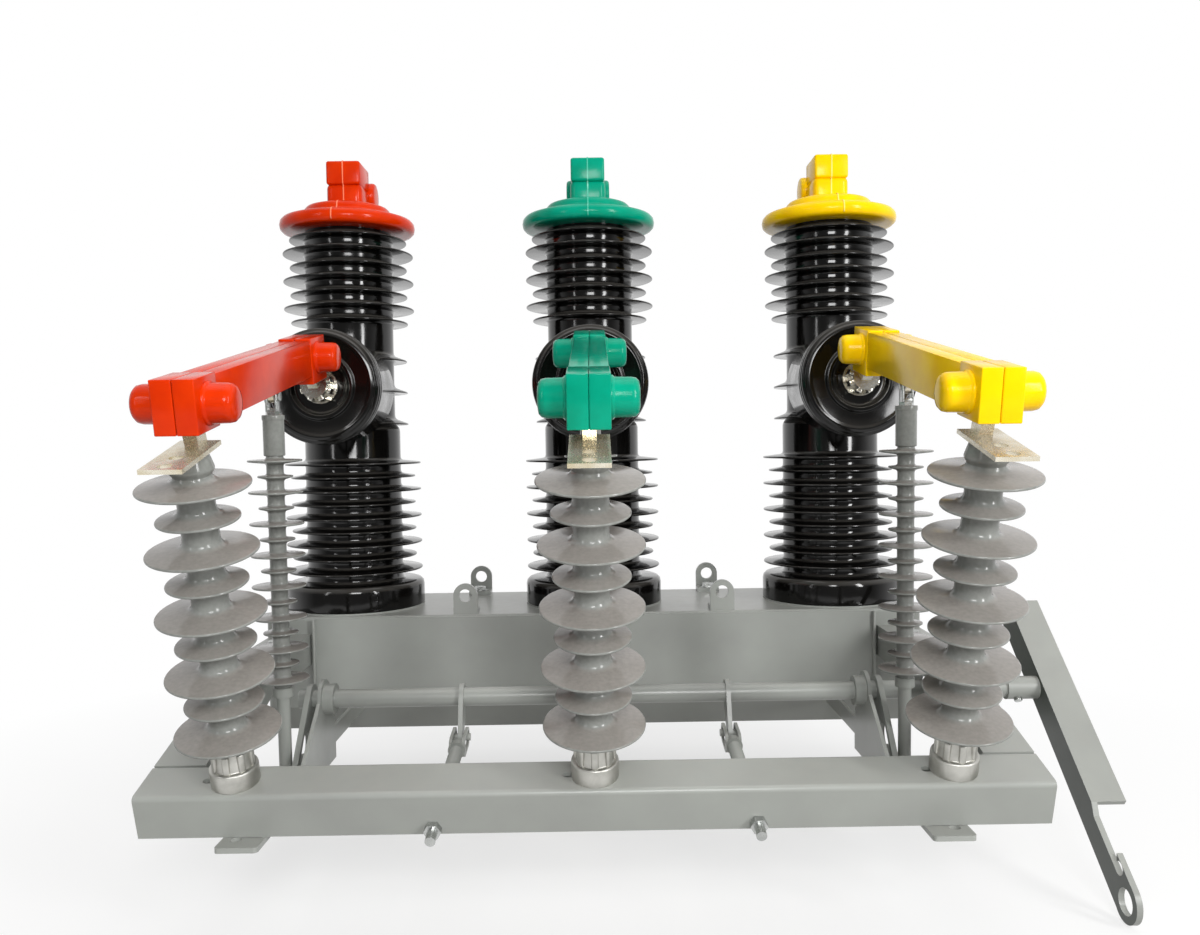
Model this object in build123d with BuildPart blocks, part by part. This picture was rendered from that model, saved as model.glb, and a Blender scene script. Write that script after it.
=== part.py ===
"""Outdoor vacuum circuit breaker with a three-phase disconnector in front of it.

X runs across the three phases, Y to the rear, Z up, in millimetres.
The origin is the centre of the four foot holes, on the underside of the feet.
"""
import os
from math import atan2, cos, degrees, hypot, radians, sin

from build123d import *

os.makedirs("parts", exist_ok=True)

# Driving dimensions: the three phases
phase_pitch = 340.0
pole_y = 390.0
cut_overrun = 1.0
running_clearance = 0.05
seat_clearance = 0.3

# Feet and side brackets
foot_hole_offset = 26.0
foot_hole_y = 120.0
foot_hole_radius = 5.5
foot_width = 40.0
foot_thickness = 5.0
foot_end_margin = 20.0
foot_tab_length = 54.0
foot_corner_radius = 4.0
bracket_side_clearance = 2.5
bracket_web_thickness = 4.0
bracket_heel_height = 18.0
bracket_boss_radius = 22.0
bracket_rear_height = 38.0
bracket_dip_y = 2.0
bracket_dip_z = 24.0
bracket_front_setback = 26.0

# Mechanism box
box_end_margin = 98.0
box_depth = 204.0
box_height = 156.0
box_bottom_z = -14.0
box_edge_radius = 10.0
box_skirt_height = 35.0
box_skirt_setback = 24.0
box_panel_margin = 33.0
box_panel_inset = 2.0
box_panel_thickness = 3.0
box_panel_corner_radius = 8.0
box_cover_margin = 16.0
box_cover_thickness = 3.0
box_cover_corner_radius = 10.0

# Lifting lugs
lug_offset = 2.0
lug_width = 32.0
lug_height = 41.0
lug_thickness = 6.0
lug_hole_radius = 8.5
lug_foot_length = 26.0
lug_edge_inset = 4.0

# Pole columns
flange_radius = 96.0
flange_height = 35.0
flange_round = 8.0
seat_ring_height = 2.0
lower_core_radius = 66.0
upper_core_radius = 59.5
lower_shed_radius = 94.0
lower_small_radius = 86.0
upper_shed_radius = 89.5
upper_small_radius = 80.5
lower_shed_pitch = 18.7
upper_shed_pitch = 19.1
lower_shed_gap = 17.0
upper_shed_gap = 98.0
lower_shed_pairs = 4
upper_shed_pairs = 3
shed_rise = 3.5
shed_drop = 1.8
shed_lip = 2.0
fin_radius = 78.0
fin_pitch = 44.5
fin_thickness = 7.0
shoulder_drop = 52.0
column_top_gap = 10.4

# Bushing on the front of each pole
bushing_gap = 99.4
bushing_reach = 170.0
bushing_disc_radius = 74.0
bushing_disc_thickness = 26.0
bushing_neck_radius = 50.0
bushing_groove_width = 5.0
bushing_groove_depth = 5.0
bushing_dish_radius = 58.0
bushing_dish_depth = 5.0
bushing_ring_radius = 42.0
bushing_ring_width = 6.0
bushing_ring_height = 3.0
bushing_well_radius = 33.0
bushing_well_depth = 9.0

# Silicone caps on the poles
cap_rim_radius = 93.0
cap_rim_height = 18.0
cap_rim_round = 7.0
cap_slope_rise = 5.0
cap_step_radius = 61.0
cap_step_height = 12.0
cap_step_round = 5.0
cap_neck_radius = 25.0
cap_neck_rise = 4.0
cap_height = 98.0
cap_block_width = 47.0
cap_block_depth = 74.0
cap_block_height = 37.0
cap_block_round = 7.0
cap_bolt_cover_radius = 21.0
cap_bolt_cover_width = 58.0
cap_bolt_cover_drop = 35.0

# Tilted front frame
frame_tilt = 15.5
deck_y = -102.6
deck_z = 55.0
beam_width = 52.0
beam_height = 44.0
beam_rear_flange = 21.0
beam_end_margin = 88.0
sheet = 4.0
arm_width = 50.0
arm_height = 40.0
arm_bend_y = 130.0
arm_shaft_window = 16.0
bend_radius = 5.0
bolt_slot_length = 44.0
bolt_slot_width = 8.0
bolt_slot_offset = 9.0

# Post insulators on the beam
base_ring_radius = 22.5
base_ring_height = 18.0
base_taper_radius = 18.0
base_taper_height = 20.0
base_rib_count = 8
base_rib_width = 7.0
base_rib_reach = 2.0
post_shank_radius = 16.0
post_shed_radius = 48.0
post_small_radius = 35.5
post_shed_pairs = 4
post_first_shed = 56.0
post_shed_rise = 4.0
post_shed_drop = 2.6
post_shed_lip = 2.4
post_collar_radius = 19.5
post_collar_top_radius = 15.5
post_collar_height = 15.0
post_top_gap = 8.6
post_length = 322.0

# Terminal plates and hinge lugs
terminal_width = 35.5
terminal_thickness = 4.0
terminal_front = 60.0
terminal_rear = 28.0
terminal_hole_radius = 6.0
terminal_hole_inset = 10.0
terminal_hole_pitch = 24.0
hinge_lug_thickness = 12.0
hinge_lug_radius = 11.0
hinge_lug_foot = 20.0

# Knife blades
pivot_along = 10.0
pivot_rise = 37.1
contact_reach = 70.0
contact_rise = 30.0
bar_gap = 16.0
bar_thickness = 5.0
bar_height = 30.0
bar_overhang = 30.0
pivot_radius = 6.0
cover_width = 37.0
cover_wall = 2.5
cover_top = 24.0
cover_drop = 20.0
cover_nose = 28.0
cover_nose_wall = 10.0
cover_block_drop = 24.0
cover_block_length = 22.0
cover_block_ramp = 8.0
cover_rear_drop = 29.0
cover_rear_length = 22.0
cover_tail = 34.0
cover_edge_radius = 5.0
bolt_cover_radius = 17.5
bolt_cover_width = 87.0

# Fixed contacts in the bushings
contact_flange_radius = 22.0
contact_flange_thickness = 6.0
contact_stem_radius = 16.0
contact_stem_length = 30.0
contact_tongue_thickness = 12.0
contact_tongue_gap = 12.0

# Pull rods
rod_setback = 64.0
rod_lug_drop = 28.4
crank_pin_setback = 52.0
crank_pin_drop = 68.0
fork_gap = 7.0
fork_cheek = 3.0
fork_depth = 14.0
fork_height = 27.0
fork_pin_radius = 4.0
rod_lug_radius = 7.0
rod_sleeve_radius = 11.5
rod_sleeve_length = 44.0
rod_shank_radius = 9.0
rod_shed_radius = 28.5
rod_small_radius = 18.5
rod_shed_pitch = 17.0
rod_shed_pairs = 7
rod_first_shed = 70.0
rod_shed_rise = 2.6
rod_shed_drop = 3.0
rod_shed_lip = 2.0
ferrule_radius = 10.5
ferrule_height = 10.0
link_radius = 7.0
link_eye_radius = 12.0
link_eye_thickness = 10.0
link_pin_radius = 6.0
link_pin_tail = 5.0

# Operating shaft, cranks and lever
shaft_y = 100.0
shaft_z = 80.0
shaft_radius = 10.5
shaft_left_overhang = 10.0
sleeve_radius = 13.0
sleeve_length = 36.0
crank_inset = 12.0
crank_thickness = 6.0
crank_hub_radius = 17.0
crank_end_radius = 22.0
crank_slot_radius = 14.5
crank_slot_length = 32.0
bearing_radius = 17.0
bearing_width = 14.0
lever_clearance = 80.0
lever_thickness = 6.0
lever_slope = 40.0
lever_front = 274.0
lever_rear = 150.0
lever_width = 34.0
lever_eye_radius = 21.0
lever_eye_shift = 3.5
lever_hole_radius = 13.0
lever_neck_width = 27.0
lever_neck_ramp = 12.0
lever_notch_radius = 7.0
lever_notch_inset = 48.0
lever_barb_height = 12.0
lever_rib_height = 30.0
lever_rib_front = 155.0

# Overcentre spring struts between the shaft and the beam
strut_offset = 18.0
strut_pin_setback = 20.0
strut_pin_drop = 41.0
strut_lever_thickness = 5.0
strut_lever_hub_radius = 15.0
strut_lever_end_radius = 9.0
strut_pin_radius = 4.0
strut_fork_gap = 11.0
strut_fork_cheek = 3.0
strut_fork_depth = 22.0
strut_slot_length = 20.0
strut_slot_clearance = 3.5
strut_body_radius = 7.5
strut_core_radius = 5.0
strut_collar_radius = 9.5
strut_collar_length = 8.0
strut_coil_pitch = 7.0
anchor_along = -2.6
anchor_drop = 37.7
anchor_bolt_radius = 5.0
anchor_bolt_tail = 20.0
anchor_nut_radius = 8.5
anchor_nut_height = 7.0
anchor_eye_radius = 7.5
anchor_eye_thickness = 6.0

# Places that follow from the driving dimensions
phases = {"left": -phase_pitch, "centre": 0.0, "right": phase_pitch}
sides = {"left": -1, "right": 1}
tilt_cos = cos(radians(frame_tilt))
tilt_sin = sin(radians(frame_tilt))
bracket_web_x = phase_pitch - rod_shed_radius - bracket_side_clearance
foot_hole_x = bracket_web_x + foot_hole_offset
beam_half_length = phase_pitch + beam_end_margin
lever_x = beam_half_length + lever_clearance
lug_x = phase_pitch / 2 + lug_offset
strut_x = phase_pitch / 2 - strut_offset
box_width = 2 * (phase_pitch + box_end_margin)
box_front_y = pole_y - box_depth / 2
panel_front_y = box_front_y - box_panel_thickness
box_top_z = box_bottom_z + box_height
column_foot_z = box_top_z + seat_ring_height
lower_shed_z = column_foot_z + flange_height + lower_shed_gap
bushing_z = lower_shed_z + 2 * lower_shed_pairs * lower_shed_pitch + bushing_gap
upper_shed_z = bushing_z + upper_shed_gap
column_top_z = upper_shed_z + 2 * upper_shed_pairs * upper_shed_pitch + column_top_gap
post_top_shed = post_length - post_collar_height - post_top_gap - post_shed_rise
post_shed_pitch = (post_top_shed - post_first_shed) / (2 * post_shed_pairs)


def deck_point(along, above):
    """Y and Z of a point on the tilted front frame, from the foot of the insulators."""
    return (deck_y + along * tilt_cos - above * tilt_sin, deck_z + along * tilt_sin + above * tilt_cos)


def deck_plane(x, along, above):
    """Plane of the tilted front frame, with its normal along the insulators."""
    y, z = deck_point(along, above)
    return Plane(origin=(x, y, z), x_dir=(1, 0, 0), z_dir=(0, -tilt_sin, tilt_cos))


def side_plane(x):
    """Plane across X whose own axes are Y and Z."""
    return Plane(origin=(x, 0, 0), x_dir=(0, 1, 0), z_dir=(1, 0, 0))


def turned_plane(origin, x_dir, axis_dir):
    """Plane for a turned profile: radius along x_dir, height along axis_dir."""
    return Plane(origin=origin, x_dir=x_dir, z_dir=Vector(*x_dir).cross(Vector(*axis_dir)))


def shed_points(core, radius, height, rise, drop, lip):
    """Outline of one shed: a sloping top, a thin lip and an almost flat underside."""
    return [(core, height - drop), (radius, height - lip), (radius, height), (core, height + rise)]


def shed_stack(core, first, pitch, pairs, even_radius, odd_radius, rise, drop, lip):
    """Outline of a stack of sheds that alternates two radii and ends as it began."""
    points = []
    for i in range(2 * pairs + 1):
        radius = odd_radius if i % 2 else even_radius
        points += shed_points(core, radius, first + i * pitch, rise, drop, lip)
    return points


def finish(piece, name):
    """Label a finished piece and write it."""
    piece.part.label = name
    export_step(piece.part, f"parts/{name}.step")


# Blade line: from the pivot bolt at the front to the pressure bolt at the rear
pivot_y, pivot_z = deck_point(pivot_along, post_length + terminal_thickness + pivot_rise)
blade_end_y = pole_y - bushing_reach - contact_reach
blade_end_z = bushing_z + contact_rise
blade_length = hypot(blade_end_y - pivot_y, blade_end_z - pivot_z)
blade_slope = degrees(atan2(blade_end_z - pivot_z, blade_end_y - pivot_y))

# Linkage pins: the rod's two ends and the spring lever's end
rod_top_y = shaft_y - rod_setback
blade_rise = (blade_end_z - pivot_z) / (blade_end_y - pivot_y)
rod_top_z = pivot_z + (rod_top_y - pivot_y) * blade_rise - rod_lug_drop
crank_pin_y = shaft_y - crank_pin_setback
crank_pin_z = shaft_z - crank_pin_drop
strut_pin_y = shaft_y - strut_pin_setback
strut_pin_z = shaft_z - strut_pin_drop

# Mechanism box: a folded steel housing with a raised cover on its rear face
with BuildPart(Plane(origin=(0, pole_y, box_bottom_z))) as mechanism_box:
    Box(box_width, box_depth, box_height, align=(Align.CENTER, Align.CENTER, Align.MIN))
    fillet(mechanism_box.edges().filter_by(Axis.Z), box_edge_radius)
    fillet(mechanism_box.faces().sort_by(Axis.Z)[-1].edges(), box_edge_radius / 2)
    with BuildSketch(Plane(origin=(0, pole_y + box_depth / 2, box_bottom_z + box_height / 2),
                           x_dir=(-1, 0, 0), z_dir=(0, 1, 0))):
        RectangleRounded(box_width - 2 * box_cover_margin, box_height - 2 * box_cover_margin,
                         box_cover_corner_radius)
    extrude(amount=box_cover_thickness)
    with BuildSketch(side_plane(0)):
        with BuildLine():
            Polyline((box_front_y, box_bottom_z), (box_front_y + box_skirt_setback, box_bottom_z),
                     (box_front_y, box_bottom_z + box_skirt_height), close=True)
        make_face()
    extrude(amount=box_width, both=True, mode=Mode.SUBTRACT)
    panel_height = box_height - box_skirt_height - 2 * box_panel_inset
    with BuildSketch(Plane(origin=(0, box_front_y, box_top_z - box_panel_inset - panel_height / 2),
                           x_dir=(1, 0, 0), z_dir=(0, -1, 0))):
        RectangleRounded(2 * (phase_pitch + box_panel_margin), panel_height, box_panel_corner_radius)
    extrude(amount=box_panel_thickness)
    with BuildSketch(Plane(origin=(0, pole_y, box_top_z))):
        with Locations(*[(phase_x, 0) for phase_x in phases.values()]):
            Circle(flange_radius)
    extrude(amount=seat_ring_height)
finish(mechanism_box, "mechanism_box")

# Lifting lugs: four upright eyes with a foot each, on the front and rear edges of the box
for end_name, end in {"front": -1, "rear": 1}.items():
    for side_name, side in sides.items():
        lug_y = pole_y + end * (box_depth / 2 - lug_edge_inset - lug_thickness / 2)
        with BuildPart(Plane(origin=(side * lug_x, lug_y, box_top_z))) as lug:
            with BuildSketch(Plane(origin=(side * lug_x, lug_y, box_top_z),
                                   x_dir=(1, 0, 0), z_dir=(0, -1, 0))):
                with BuildLine():
                    eye_z = lug_height - lug_width / 2
                    Line((-lug_width / 2, 0), (lug_width / 2, 0))
                    Line((lug_width / 2, 0), (lug_width / 2, eye_z))
                    RadiusArc((lug_width / 2, eye_z), (-lug_width / 2, eye_z), -lug_width / 2)
                    Line((-lug_width / 2, eye_z), (-lug_width / 2, 0))
                make_face()
                with Locations((0, eye_z)):
                    Circle(lug_hole_radius, mode=Mode.SUBTRACT)
            extrude(amount=lug_thickness / 2, both=True)
            with BuildSketch(Plane(origin=(side * lug_x, lug_y, box_top_z))):
                with Locations((0, -end * (lug_foot_length / 2))):
                    Rectangle(lug_width, lug_foot_length)
            extrude(amount=lug_thickness)
        finish(lug, f"lifting_lug_{end_name}_{side_name}")

# Pole columns: shedded epoxy castings with a bushing that faces forward
for phase_name, phase_x in phases.items():
    with BuildPart() as pole:
        axis_plane = turned_plane((phase_x, pole_y, 0), (1, 0, 0), (0, 0, 1))
        with BuildSketch(axis_plane):
            with BuildLine():
                flange_top = column_foot_z + flange_height
                lower_sheds = shed_stack(lower_core_radius, lower_shed_z, lower_shed_pitch, lower_shed_pairs,
                                         lower_shed_radius, lower_small_radius, shed_rise, shed_drop,
                                         shed_lip)
                fins = []
                for step in (-1, 0, 1):
                    fin_z = bushing_z + step * fin_pitch
                    fins += shed_points(upper_core_radius, fin_radius, fin_z, fin_thickness, 0, shed_lip)
                upper_sheds = shed_stack(upper_core_radius, upper_shed_z, upper_shed_pitch, upper_shed_pairs,
                                         upper_small_radius, upper_shed_radius, shed_rise, shed_drop,
                                         shed_lip)
                Polyline(
                    (0, column_foot_z), (flange_radius, column_foot_z),
                    (flange_radius, flange_top - flange_round),
                    (flange_radius - flange_round, flange_top), (lower_core_radius, flange_top),
                    *lower_sheds, (lower_core_radius, bushing_z - shoulder_drop), *fins, *upper_sheds,
                    (upper_core_radius, column_top_z), (0, column_top_z), close=True)
            make_face()
        revolve(axis=Axis((phase_x, pole_y, 0), (0, 0, 1)))
        bushing_plane = turned_plane((phase_x, pole_y, bushing_z), (1, 0, 0), (0, -1, 0))
        with BuildSketch(bushing_plane):
            with BuildLine():
                disc_back = bushing_reach - bushing_disc_thickness
                groove_low = disc_back + (bushing_disc_thickness - bushing_groove_width) / 2
                groove_radius = bushing_disc_radius - bushing_groove_depth
                dish_floor = bushing_reach - bushing_dish_depth
                Polyline(
                    (0, 0), (bushing_neck_radius, 0), (bushing_neck_radius, disc_back),
                    (bushing_disc_radius, disc_back), (bushing_disc_radius, groove_low),
                    (groove_radius, groove_low), (groove_radius, groove_low + bushing_groove_width),
                    (bushing_disc_radius, groove_low + bushing_groove_width),
                    (bushing_disc_radius, bushing_reach), (bushing_dish_radius, bushing_reach),
                    (bushing_dish_radius - bushing_dish_depth, dish_floor),
                    (bushing_ring_radius, dish_floor),
                    (bushing_ring_radius, dish_floor + bushing_ring_height),
                    (bushing_ring_radius - bushing_ring_width, dish_floor + bushing_ring_height),
                    (bushing_well_radius, bushing_reach - bushing_well_depth),
                    (0, bushing_reach - bushing_well_depth), close=True)
            make_face()
        revolve(axis=Axis((phase_x, pole_y, bushing_z), (0, -1, 0)))
    finish(pole, f"pole_column_{phase_name}")

# Silicone caps: a rolled rim, a stepped dome and a hood over the rear terminal
for phase_name, phase_x in phases.items():
    with BuildPart() as cap:
        with BuildSketch(turned_plane((phase_x, pole_y, column_top_z), (1, 0, 0), (0, 0, 1))):
            with BuildLine():
                slope_z = cap_rim_height + cap_slope_rise
                step_z = slope_z + cap_step_height
                neck_z = step_z + cap_neck_rise
                neck_top = cap_height - cap_block_height / 2
                Polyline(
                    (0, 0), (cap_rim_radius - cap_rim_round, 0), (cap_rim_radius, cap_rim_round),
                    (cap_rim_radius, cap_rim_height - cap_rim_round),
                    (cap_rim_radius - cap_rim_round, cap_rim_height), (cap_step_radius, slope_z),
                    (cap_step_radius, step_z - cap_step_round), (cap_step_radius - cap_step_round, step_z),
                    (cap_neck_radius, neck_z), (cap_neck_radius, neck_top), (0, neck_top), close=True)
            make_face()
        revolve(axis=Axis((phase_x, pole_y, 0), (0, 0, 1)))
        with BuildSketch(Plane(origin=(phase_x, pole_y, column_top_z + cap_height - cap_block_height))):
            RectangleRounded(cap_block_width, cap_block_depth, cap_block_round)
        extrude(amount=cap_block_height)
        fillet(cap.faces().sort_by(Axis.Z)[-1].edges(), cap_block_round / 2)
        with BuildSketch(side_plane(phase_x)):
            with Locations((pole_y, column_top_z + cap_height - cap_bolt_cover_drop)):
                Circle(cap_bolt_cover_radius)
        extrude(amount=cap_bolt_cover_width / 2, both=True)
    finish(cap, f"pole_cap_{phase_name}")

# Fixed contacts: a flange in the bushing's dish, a stem and an upright tongue
for phase_name, phase_x in phases.items():
    with BuildPart() as contact:
        hub_y = pole_y - bushing_reach + bushing_well_depth
        with BuildSketch(turned_plane((phase_x, hub_y, bushing_z), (1, 0, 0), (0, -1, 0))):
            with BuildLine():
                stem_end = contact_flange_thickness + contact_stem_length
                Polyline(
                    (0, 0), (contact_flange_radius, 0), (contact_flange_radius, contact_flange_thickness),
                    (contact_stem_radius, contact_flange_thickness), (contact_stem_radius, stem_end),
                    (0, stem_end), close=True)
            make_face()
        revolve(axis=Axis((phase_x, hub_y, bushing_z), (0, -1, 0)))
        with BuildSketch(side_plane(phase_x)):
            with BuildLine():
                tongue_front = blade_end_y + contact_tongue_gap
                tongue_low = bushing_z - contact_stem_radius / 2
                Polyline(
                    (hub_y, tongue_low), (hub_y, bushing_z + contact_stem_radius / 2),
                    (hub_y - contact_stem_length, blade_end_z + bar_height / 2),
                    (tongue_front, blade_end_z + bar_height / 2),
                    (tongue_front, blade_end_z - bar_height / 2),
                    (hub_y - contact_stem_length, tongue_low), close=True)
            make_face()
        extrude(amount=contact_tongue_thickness / 2, both=True)
    finish(contact, f"fixed_contact_{phase_name}")

# Front beam: a folded channel, open below, that carries the insulators
with BuildPart() as front_beam:
    beam_plane = Plane(origin=(-beam_half_length, *deck_point(0, 0)),
                       x_dir=(0, tilt_cos, tilt_sin), z_dir=(1, 0, 0))
    with BuildSketch(beam_plane):
        with Locations((0, -beam_height / 2)):
            Rectangle(beam_width, beam_height)
        with Locations((0, -beam_height / 2 - sheet)):
            Rectangle(beam_width - 2 * sheet, beam_height, mode=Mode.SUBTRACT)
        with Locations((beam_width / 2, -beam_rear_flange)):
            Rectangle(2 * (sheet + cut_overrun), beam_height, align=(Align.CENTER, Align.MAX),
                      mode=Mode.SUBTRACT)
    extrude(amount=2 * beam_half_length)
    deck_normal = Axis((0, 0, 0), (0, -tilt_sin, tilt_cos))
    fillet(front_beam.edges().filter_by(Axis.X).sort_by(deck_normal)[-2:], bend_radius)
    with BuildSketch(deck_plane(0, 0, 0)):
        for phase_x in phases.values():
            with Locations((phase_x - bolt_slot_offset, 0)):
                SlotOverall(bolt_slot_length, bolt_slot_width)
    extrude(amount=-2 * sheet, mode=Mode.SUBTRACT)
    for side in sides.values():
        y, z = deck_point(-beam_width / 2, -anchor_drop)
        with BuildSketch(Plane(origin=(side * strut_x, y, z),
                               x_dir=(1, 0, 0), z_dir=(0, tilt_cos, tilt_sin))):
            Circle(anchor_bolt_radius + running_clearance)
        extrude(amount=2 * sheet, mode=Mode.SUBTRACT)
finish(front_beam, "front_beam")

# Side arms: folded channels from the beam up to the front of the box
for side_name, side in sides.items():
    with BuildPart() as arm:
        arm_x = side * (beam_half_length - arm_width / 2)
        front_y, front_z = deck_point(beam_width / 2, 0)
        bend_z = front_z + (arm_bend_y - front_y) * tilt_sin / tilt_cos
        low_y, low_z = deck_point(beam_width / 2, -arm_height)
        with BuildSketch(side_plane(arm_x)):
            with BuildLine():
                Polyline((front_y, front_z), (arm_bend_y, bend_z), (box_front_y, bend_z),
                         (box_front_y, bend_z - arm_height), (arm_bend_y, bend_z - arm_height),
                         (low_y, low_z), close=True)
            make_face()
        extrude(amount=arm_width / 2, both=True)
        with BuildSketch(side_plane(arm_x)):
            with BuildLine():
                Polyline((front_y, front_z - sheet), (arm_bend_y, bend_z - sheet),
                         (box_front_y, bend_z - sheet), (box_front_y, bend_z - 2 * arm_height),
                         (low_y, low_z - arm_height), close=True)
            make_face()
        extrude(amount=arm_width / 2 - sheet, both=True, mode=Mode.SUBTRACT)
        if side * lever_x > 0:
            with BuildSketch(side_plane(arm_x)):
                with Locations((shaft_y, shaft_z)):
                    Circle(arm_shaft_window)
            extrude(amount=arm_width, both=True, mode=Mode.SUBTRACT)
    finish(arm, f"side_arm_{side_name}")

# Side brackets: an upright web that carries the shaft, with a foot flange folded outward
for side_name, side in sides.items():
    with BuildPart() as bracket:
        web_mid = side * (bracket_web_x + bracket_web_thickness / 2)
        foot_rear = foot_hole_y + foot_end_margin
        with BuildSketch(side_plane(web_mid)):
            with BuildLine():
                Polyline(
                    (-foot_rear + bracket_front_setback, 0), deck_point(-beam_width / 2, -beam_height),
                    deck_point(beam_width / 2, -beam_height), deck_point(beam_width / 2, -sheet),
                    (bracket_dip_y, bracket_dip_z), (shaft_y - bracket_boss_radius, shaft_z),
                    (shaft_y + bracket_boss_radius, shaft_z), (foot_rear, bracket_rear_height),
                    (panel_front_y, bracket_rear_height), (panel_front_y, bracket_heel_height),
                    (foot_rear, bracket_heel_height), (foot_rear, 0), close=True)
            make_face()
            with Locations((shaft_y, shaft_z)):
                Circle(bracket_boss_radius)
                Circle(shaft_radius + running_clearance, mode=Mode.SUBTRACT)
        extrude(amount=bracket_web_thickness / 2, both=True)
        with BuildSketch(side_plane(web_mid)):
            with Locations((shaft_y, shaft_z)):
                Circle(bearing_radius)
                Circle(shaft_radius + running_clearance, mode=Mode.SUBTRACT)
        extrude(amount=-side * bearing_width)
        foot_mid = side * (bracket_web_x + foot_width / 2)
        tab_y = foot_rear - foot_tab_length / 2
        with BuildSketch(Plane(origin=(foot_mid, 0, 0))):
            with Locations((0, -tab_y), (0, tab_y)):
                RectangleRounded(foot_width, foot_tab_length, foot_corner_radius)
            hole_across = side * foot_hole_x - foot_mid
            with Locations((hole_across, -foot_hole_y), (hole_across, foot_hole_y)):
                Circle(foot_hole_radius, mode=Mode.SUBTRACT)
        extrude(amount=foot_thickness)
    finish(bracket, f"side_bracket_{side_name}")

# Insulator bases: cast rings with a ribbed taper
for phase_name, phase_x in phases.items():
    foot_origin = (phase_x, *deck_point(0, 0))
    axis_dir = (0, -tilt_sin, tilt_cos)
    with BuildPart() as base:
        base_top = base_ring_height + base_taper_height
        with BuildSketch(turned_plane(foot_origin, (1, 0, 0), axis_dir)):
            with BuildLine():
                Polyline((0, 0), (base_ring_radius, 0), (base_ring_radius, base_ring_height),
                         (base_taper_radius, base_ring_height), (post_shank_radius, base_top),
                         (0, base_top), close=True)
            make_face()
        revolve(axis=Axis(foot_origin, axis_dir))
        with BuildSketch(deck_plane(phase_x, 0, base_ring_height)):
            with PolarLocations(base_taper_radius, base_rib_count):
                Rectangle(2 * base_rib_reach, base_rib_width)
        extrude(amount=base_taper_height - base_rib_reach)
    finish(base, f"insulator_base_{phase_name}")

# Post insulators: silicone sheds on a slim shank
for phase_name, phase_x in phases.items():
    foot_origin = (phase_x, *deck_point(0, 0))
    axis_dir = (0, -tilt_sin, tilt_cos)
    with BuildPart() as post:
        with BuildSketch(turned_plane(foot_origin, (1, 0, 0), axis_dir)):
            with BuildLine():
                post_foot = base_ring_height + base_taper_height
                post_sheds = shed_stack(post_shank_radius, post_first_shed, post_shed_pitch, post_shed_pairs,
                                        post_shed_radius, post_small_radius, post_shed_rise, post_shed_drop,
                                        post_shed_lip)
                Polyline((0, post_foot), (post_shank_radius, post_foot), *post_sheds,
                         (post_shank_radius, post_length - post_collar_height - post_top_gap / 2),
                         (post_collar_radius, post_length - post_collar_height),
                         (post_collar_top_radius, post_length), (0, post_length), close=True)
            make_face()
        revolve(axis=Axis(foot_origin, axis_dir))
    finish(post, f"post_insulator_{phase_name}")


def blade_plane(x):
    """Plane across X at a phase, from the pivot, with its own X along the blade."""
    slope = radians(blade_slope)
    return Plane(origin=(x, pivot_y, pivot_z), x_dir=(0, cos(slope), sin(slope)), z_dir=(1, 0, 0))


# Terminal plates: a flat bar with two bolt holes and the hinge lug of the blade
for phase_name, phase_x in phases.items():
    with BuildPart() as terminal:
        with BuildSketch(deck_plane(phase_x, 0, post_length)):
            with Locations((0, (terminal_rear - terminal_front) / 2)):
                Rectangle(terminal_width, terminal_front + terminal_rear)
            first_hole = -terminal_front + terminal_hole_inset
            with Locations((0, first_hole), (0, first_hole + terminal_hole_pitch)):
                Circle(terminal_hole_radius, mode=Mode.SUBTRACT)
        extrude(amount=terminal_thickness)
        with BuildSketch(side_plane(phase_x)):
            plate_top = post_length + terminal_thickness / 2
            with BuildLine():
                Polyline(deck_point(terminal_rear, plate_top), (pivot_y + hinge_lug_radius, pivot_z),
                         (pivot_y - hinge_lug_radius, pivot_z),
                         deck_point(terminal_rear - hinge_lug_foot, plate_top), close=True)
            make_face()
            with Locations((pivot_y, pivot_z)):
                Circle(hinge_lug_radius)
                Circle(pivot_radius + running_clearance, mode=Mode.SUBTRACT)
        extrude(amount=hinge_lug_thickness / 2, both=True)
    finish(terminal, f"terminal_plate_{phase_name}")

# Knife blades: two copper bars, the pivot and pressure bolts and the lug of the pull rod
slope_cos = cos(radians(blade_slope))
slope_sin = sin(radians(blade_slope))
lug_along = (rod_top_y - pivot_y) * slope_cos + (rod_top_z - pivot_z) * slope_sin
lug_above = (rod_top_z - pivot_z) * slope_cos - (rod_top_y - pivot_y) * slope_sin
for phase_name, phase_x in phases.items():
    with BuildPart() as knife:
        with BuildSketch(blade_plane(phase_x)):
            with Locations(((blade_length + bar_overhang - bar_height / 2) / 2, 0)):
                SlotOverall(blade_length + bar_overhang + bar_height / 2, bar_height)
        extrude(amount=bar_gap / 2 + bar_thickness, both=True)
        with BuildSketch(blade_plane(phase_x)):
            with Locations((blade_length / 2, 0)):
                Rectangle(2 * blade_length, 2 * bar_height)
        extrude(amount=bar_gap / 2, both=True, mode=Mode.SUBTRACT)
        with BuildSketch(blade_plane(phase_x)):
            with Locations((0, 0), (blade_length, 0)):
                Circle(pivot_radius)
        extrude(amount=cover_width / 2 - cover_wall - seat_clearance, both=True)
        with BuildSketch(blade_plane(phase_x)):
            with Locations((lug_along, 0)):
                Rectangle(2 * rod_lug_radius, bar_height / 2)
        extrude(amount=(bar_gap + bar_thickness) / 2, both=True)
        with BuildSketch(blade_plane(phase_x)):
            with Locations((lug_along, lug_above / 2)):
                Rectangle(2 * rod_lug_radius, -lug_above)
            with Locations((lug_along, lug_above)):
                Circle(rod_lug_radius)
                Circle(fork_pin_radius + running_clearance, mode=Mode.SUBTRACT)
        extrude(amount=fork_gap / 2 - seat_clearance, both=True)
    finish(knife, f"knife_blade_{phase_name}")

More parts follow.
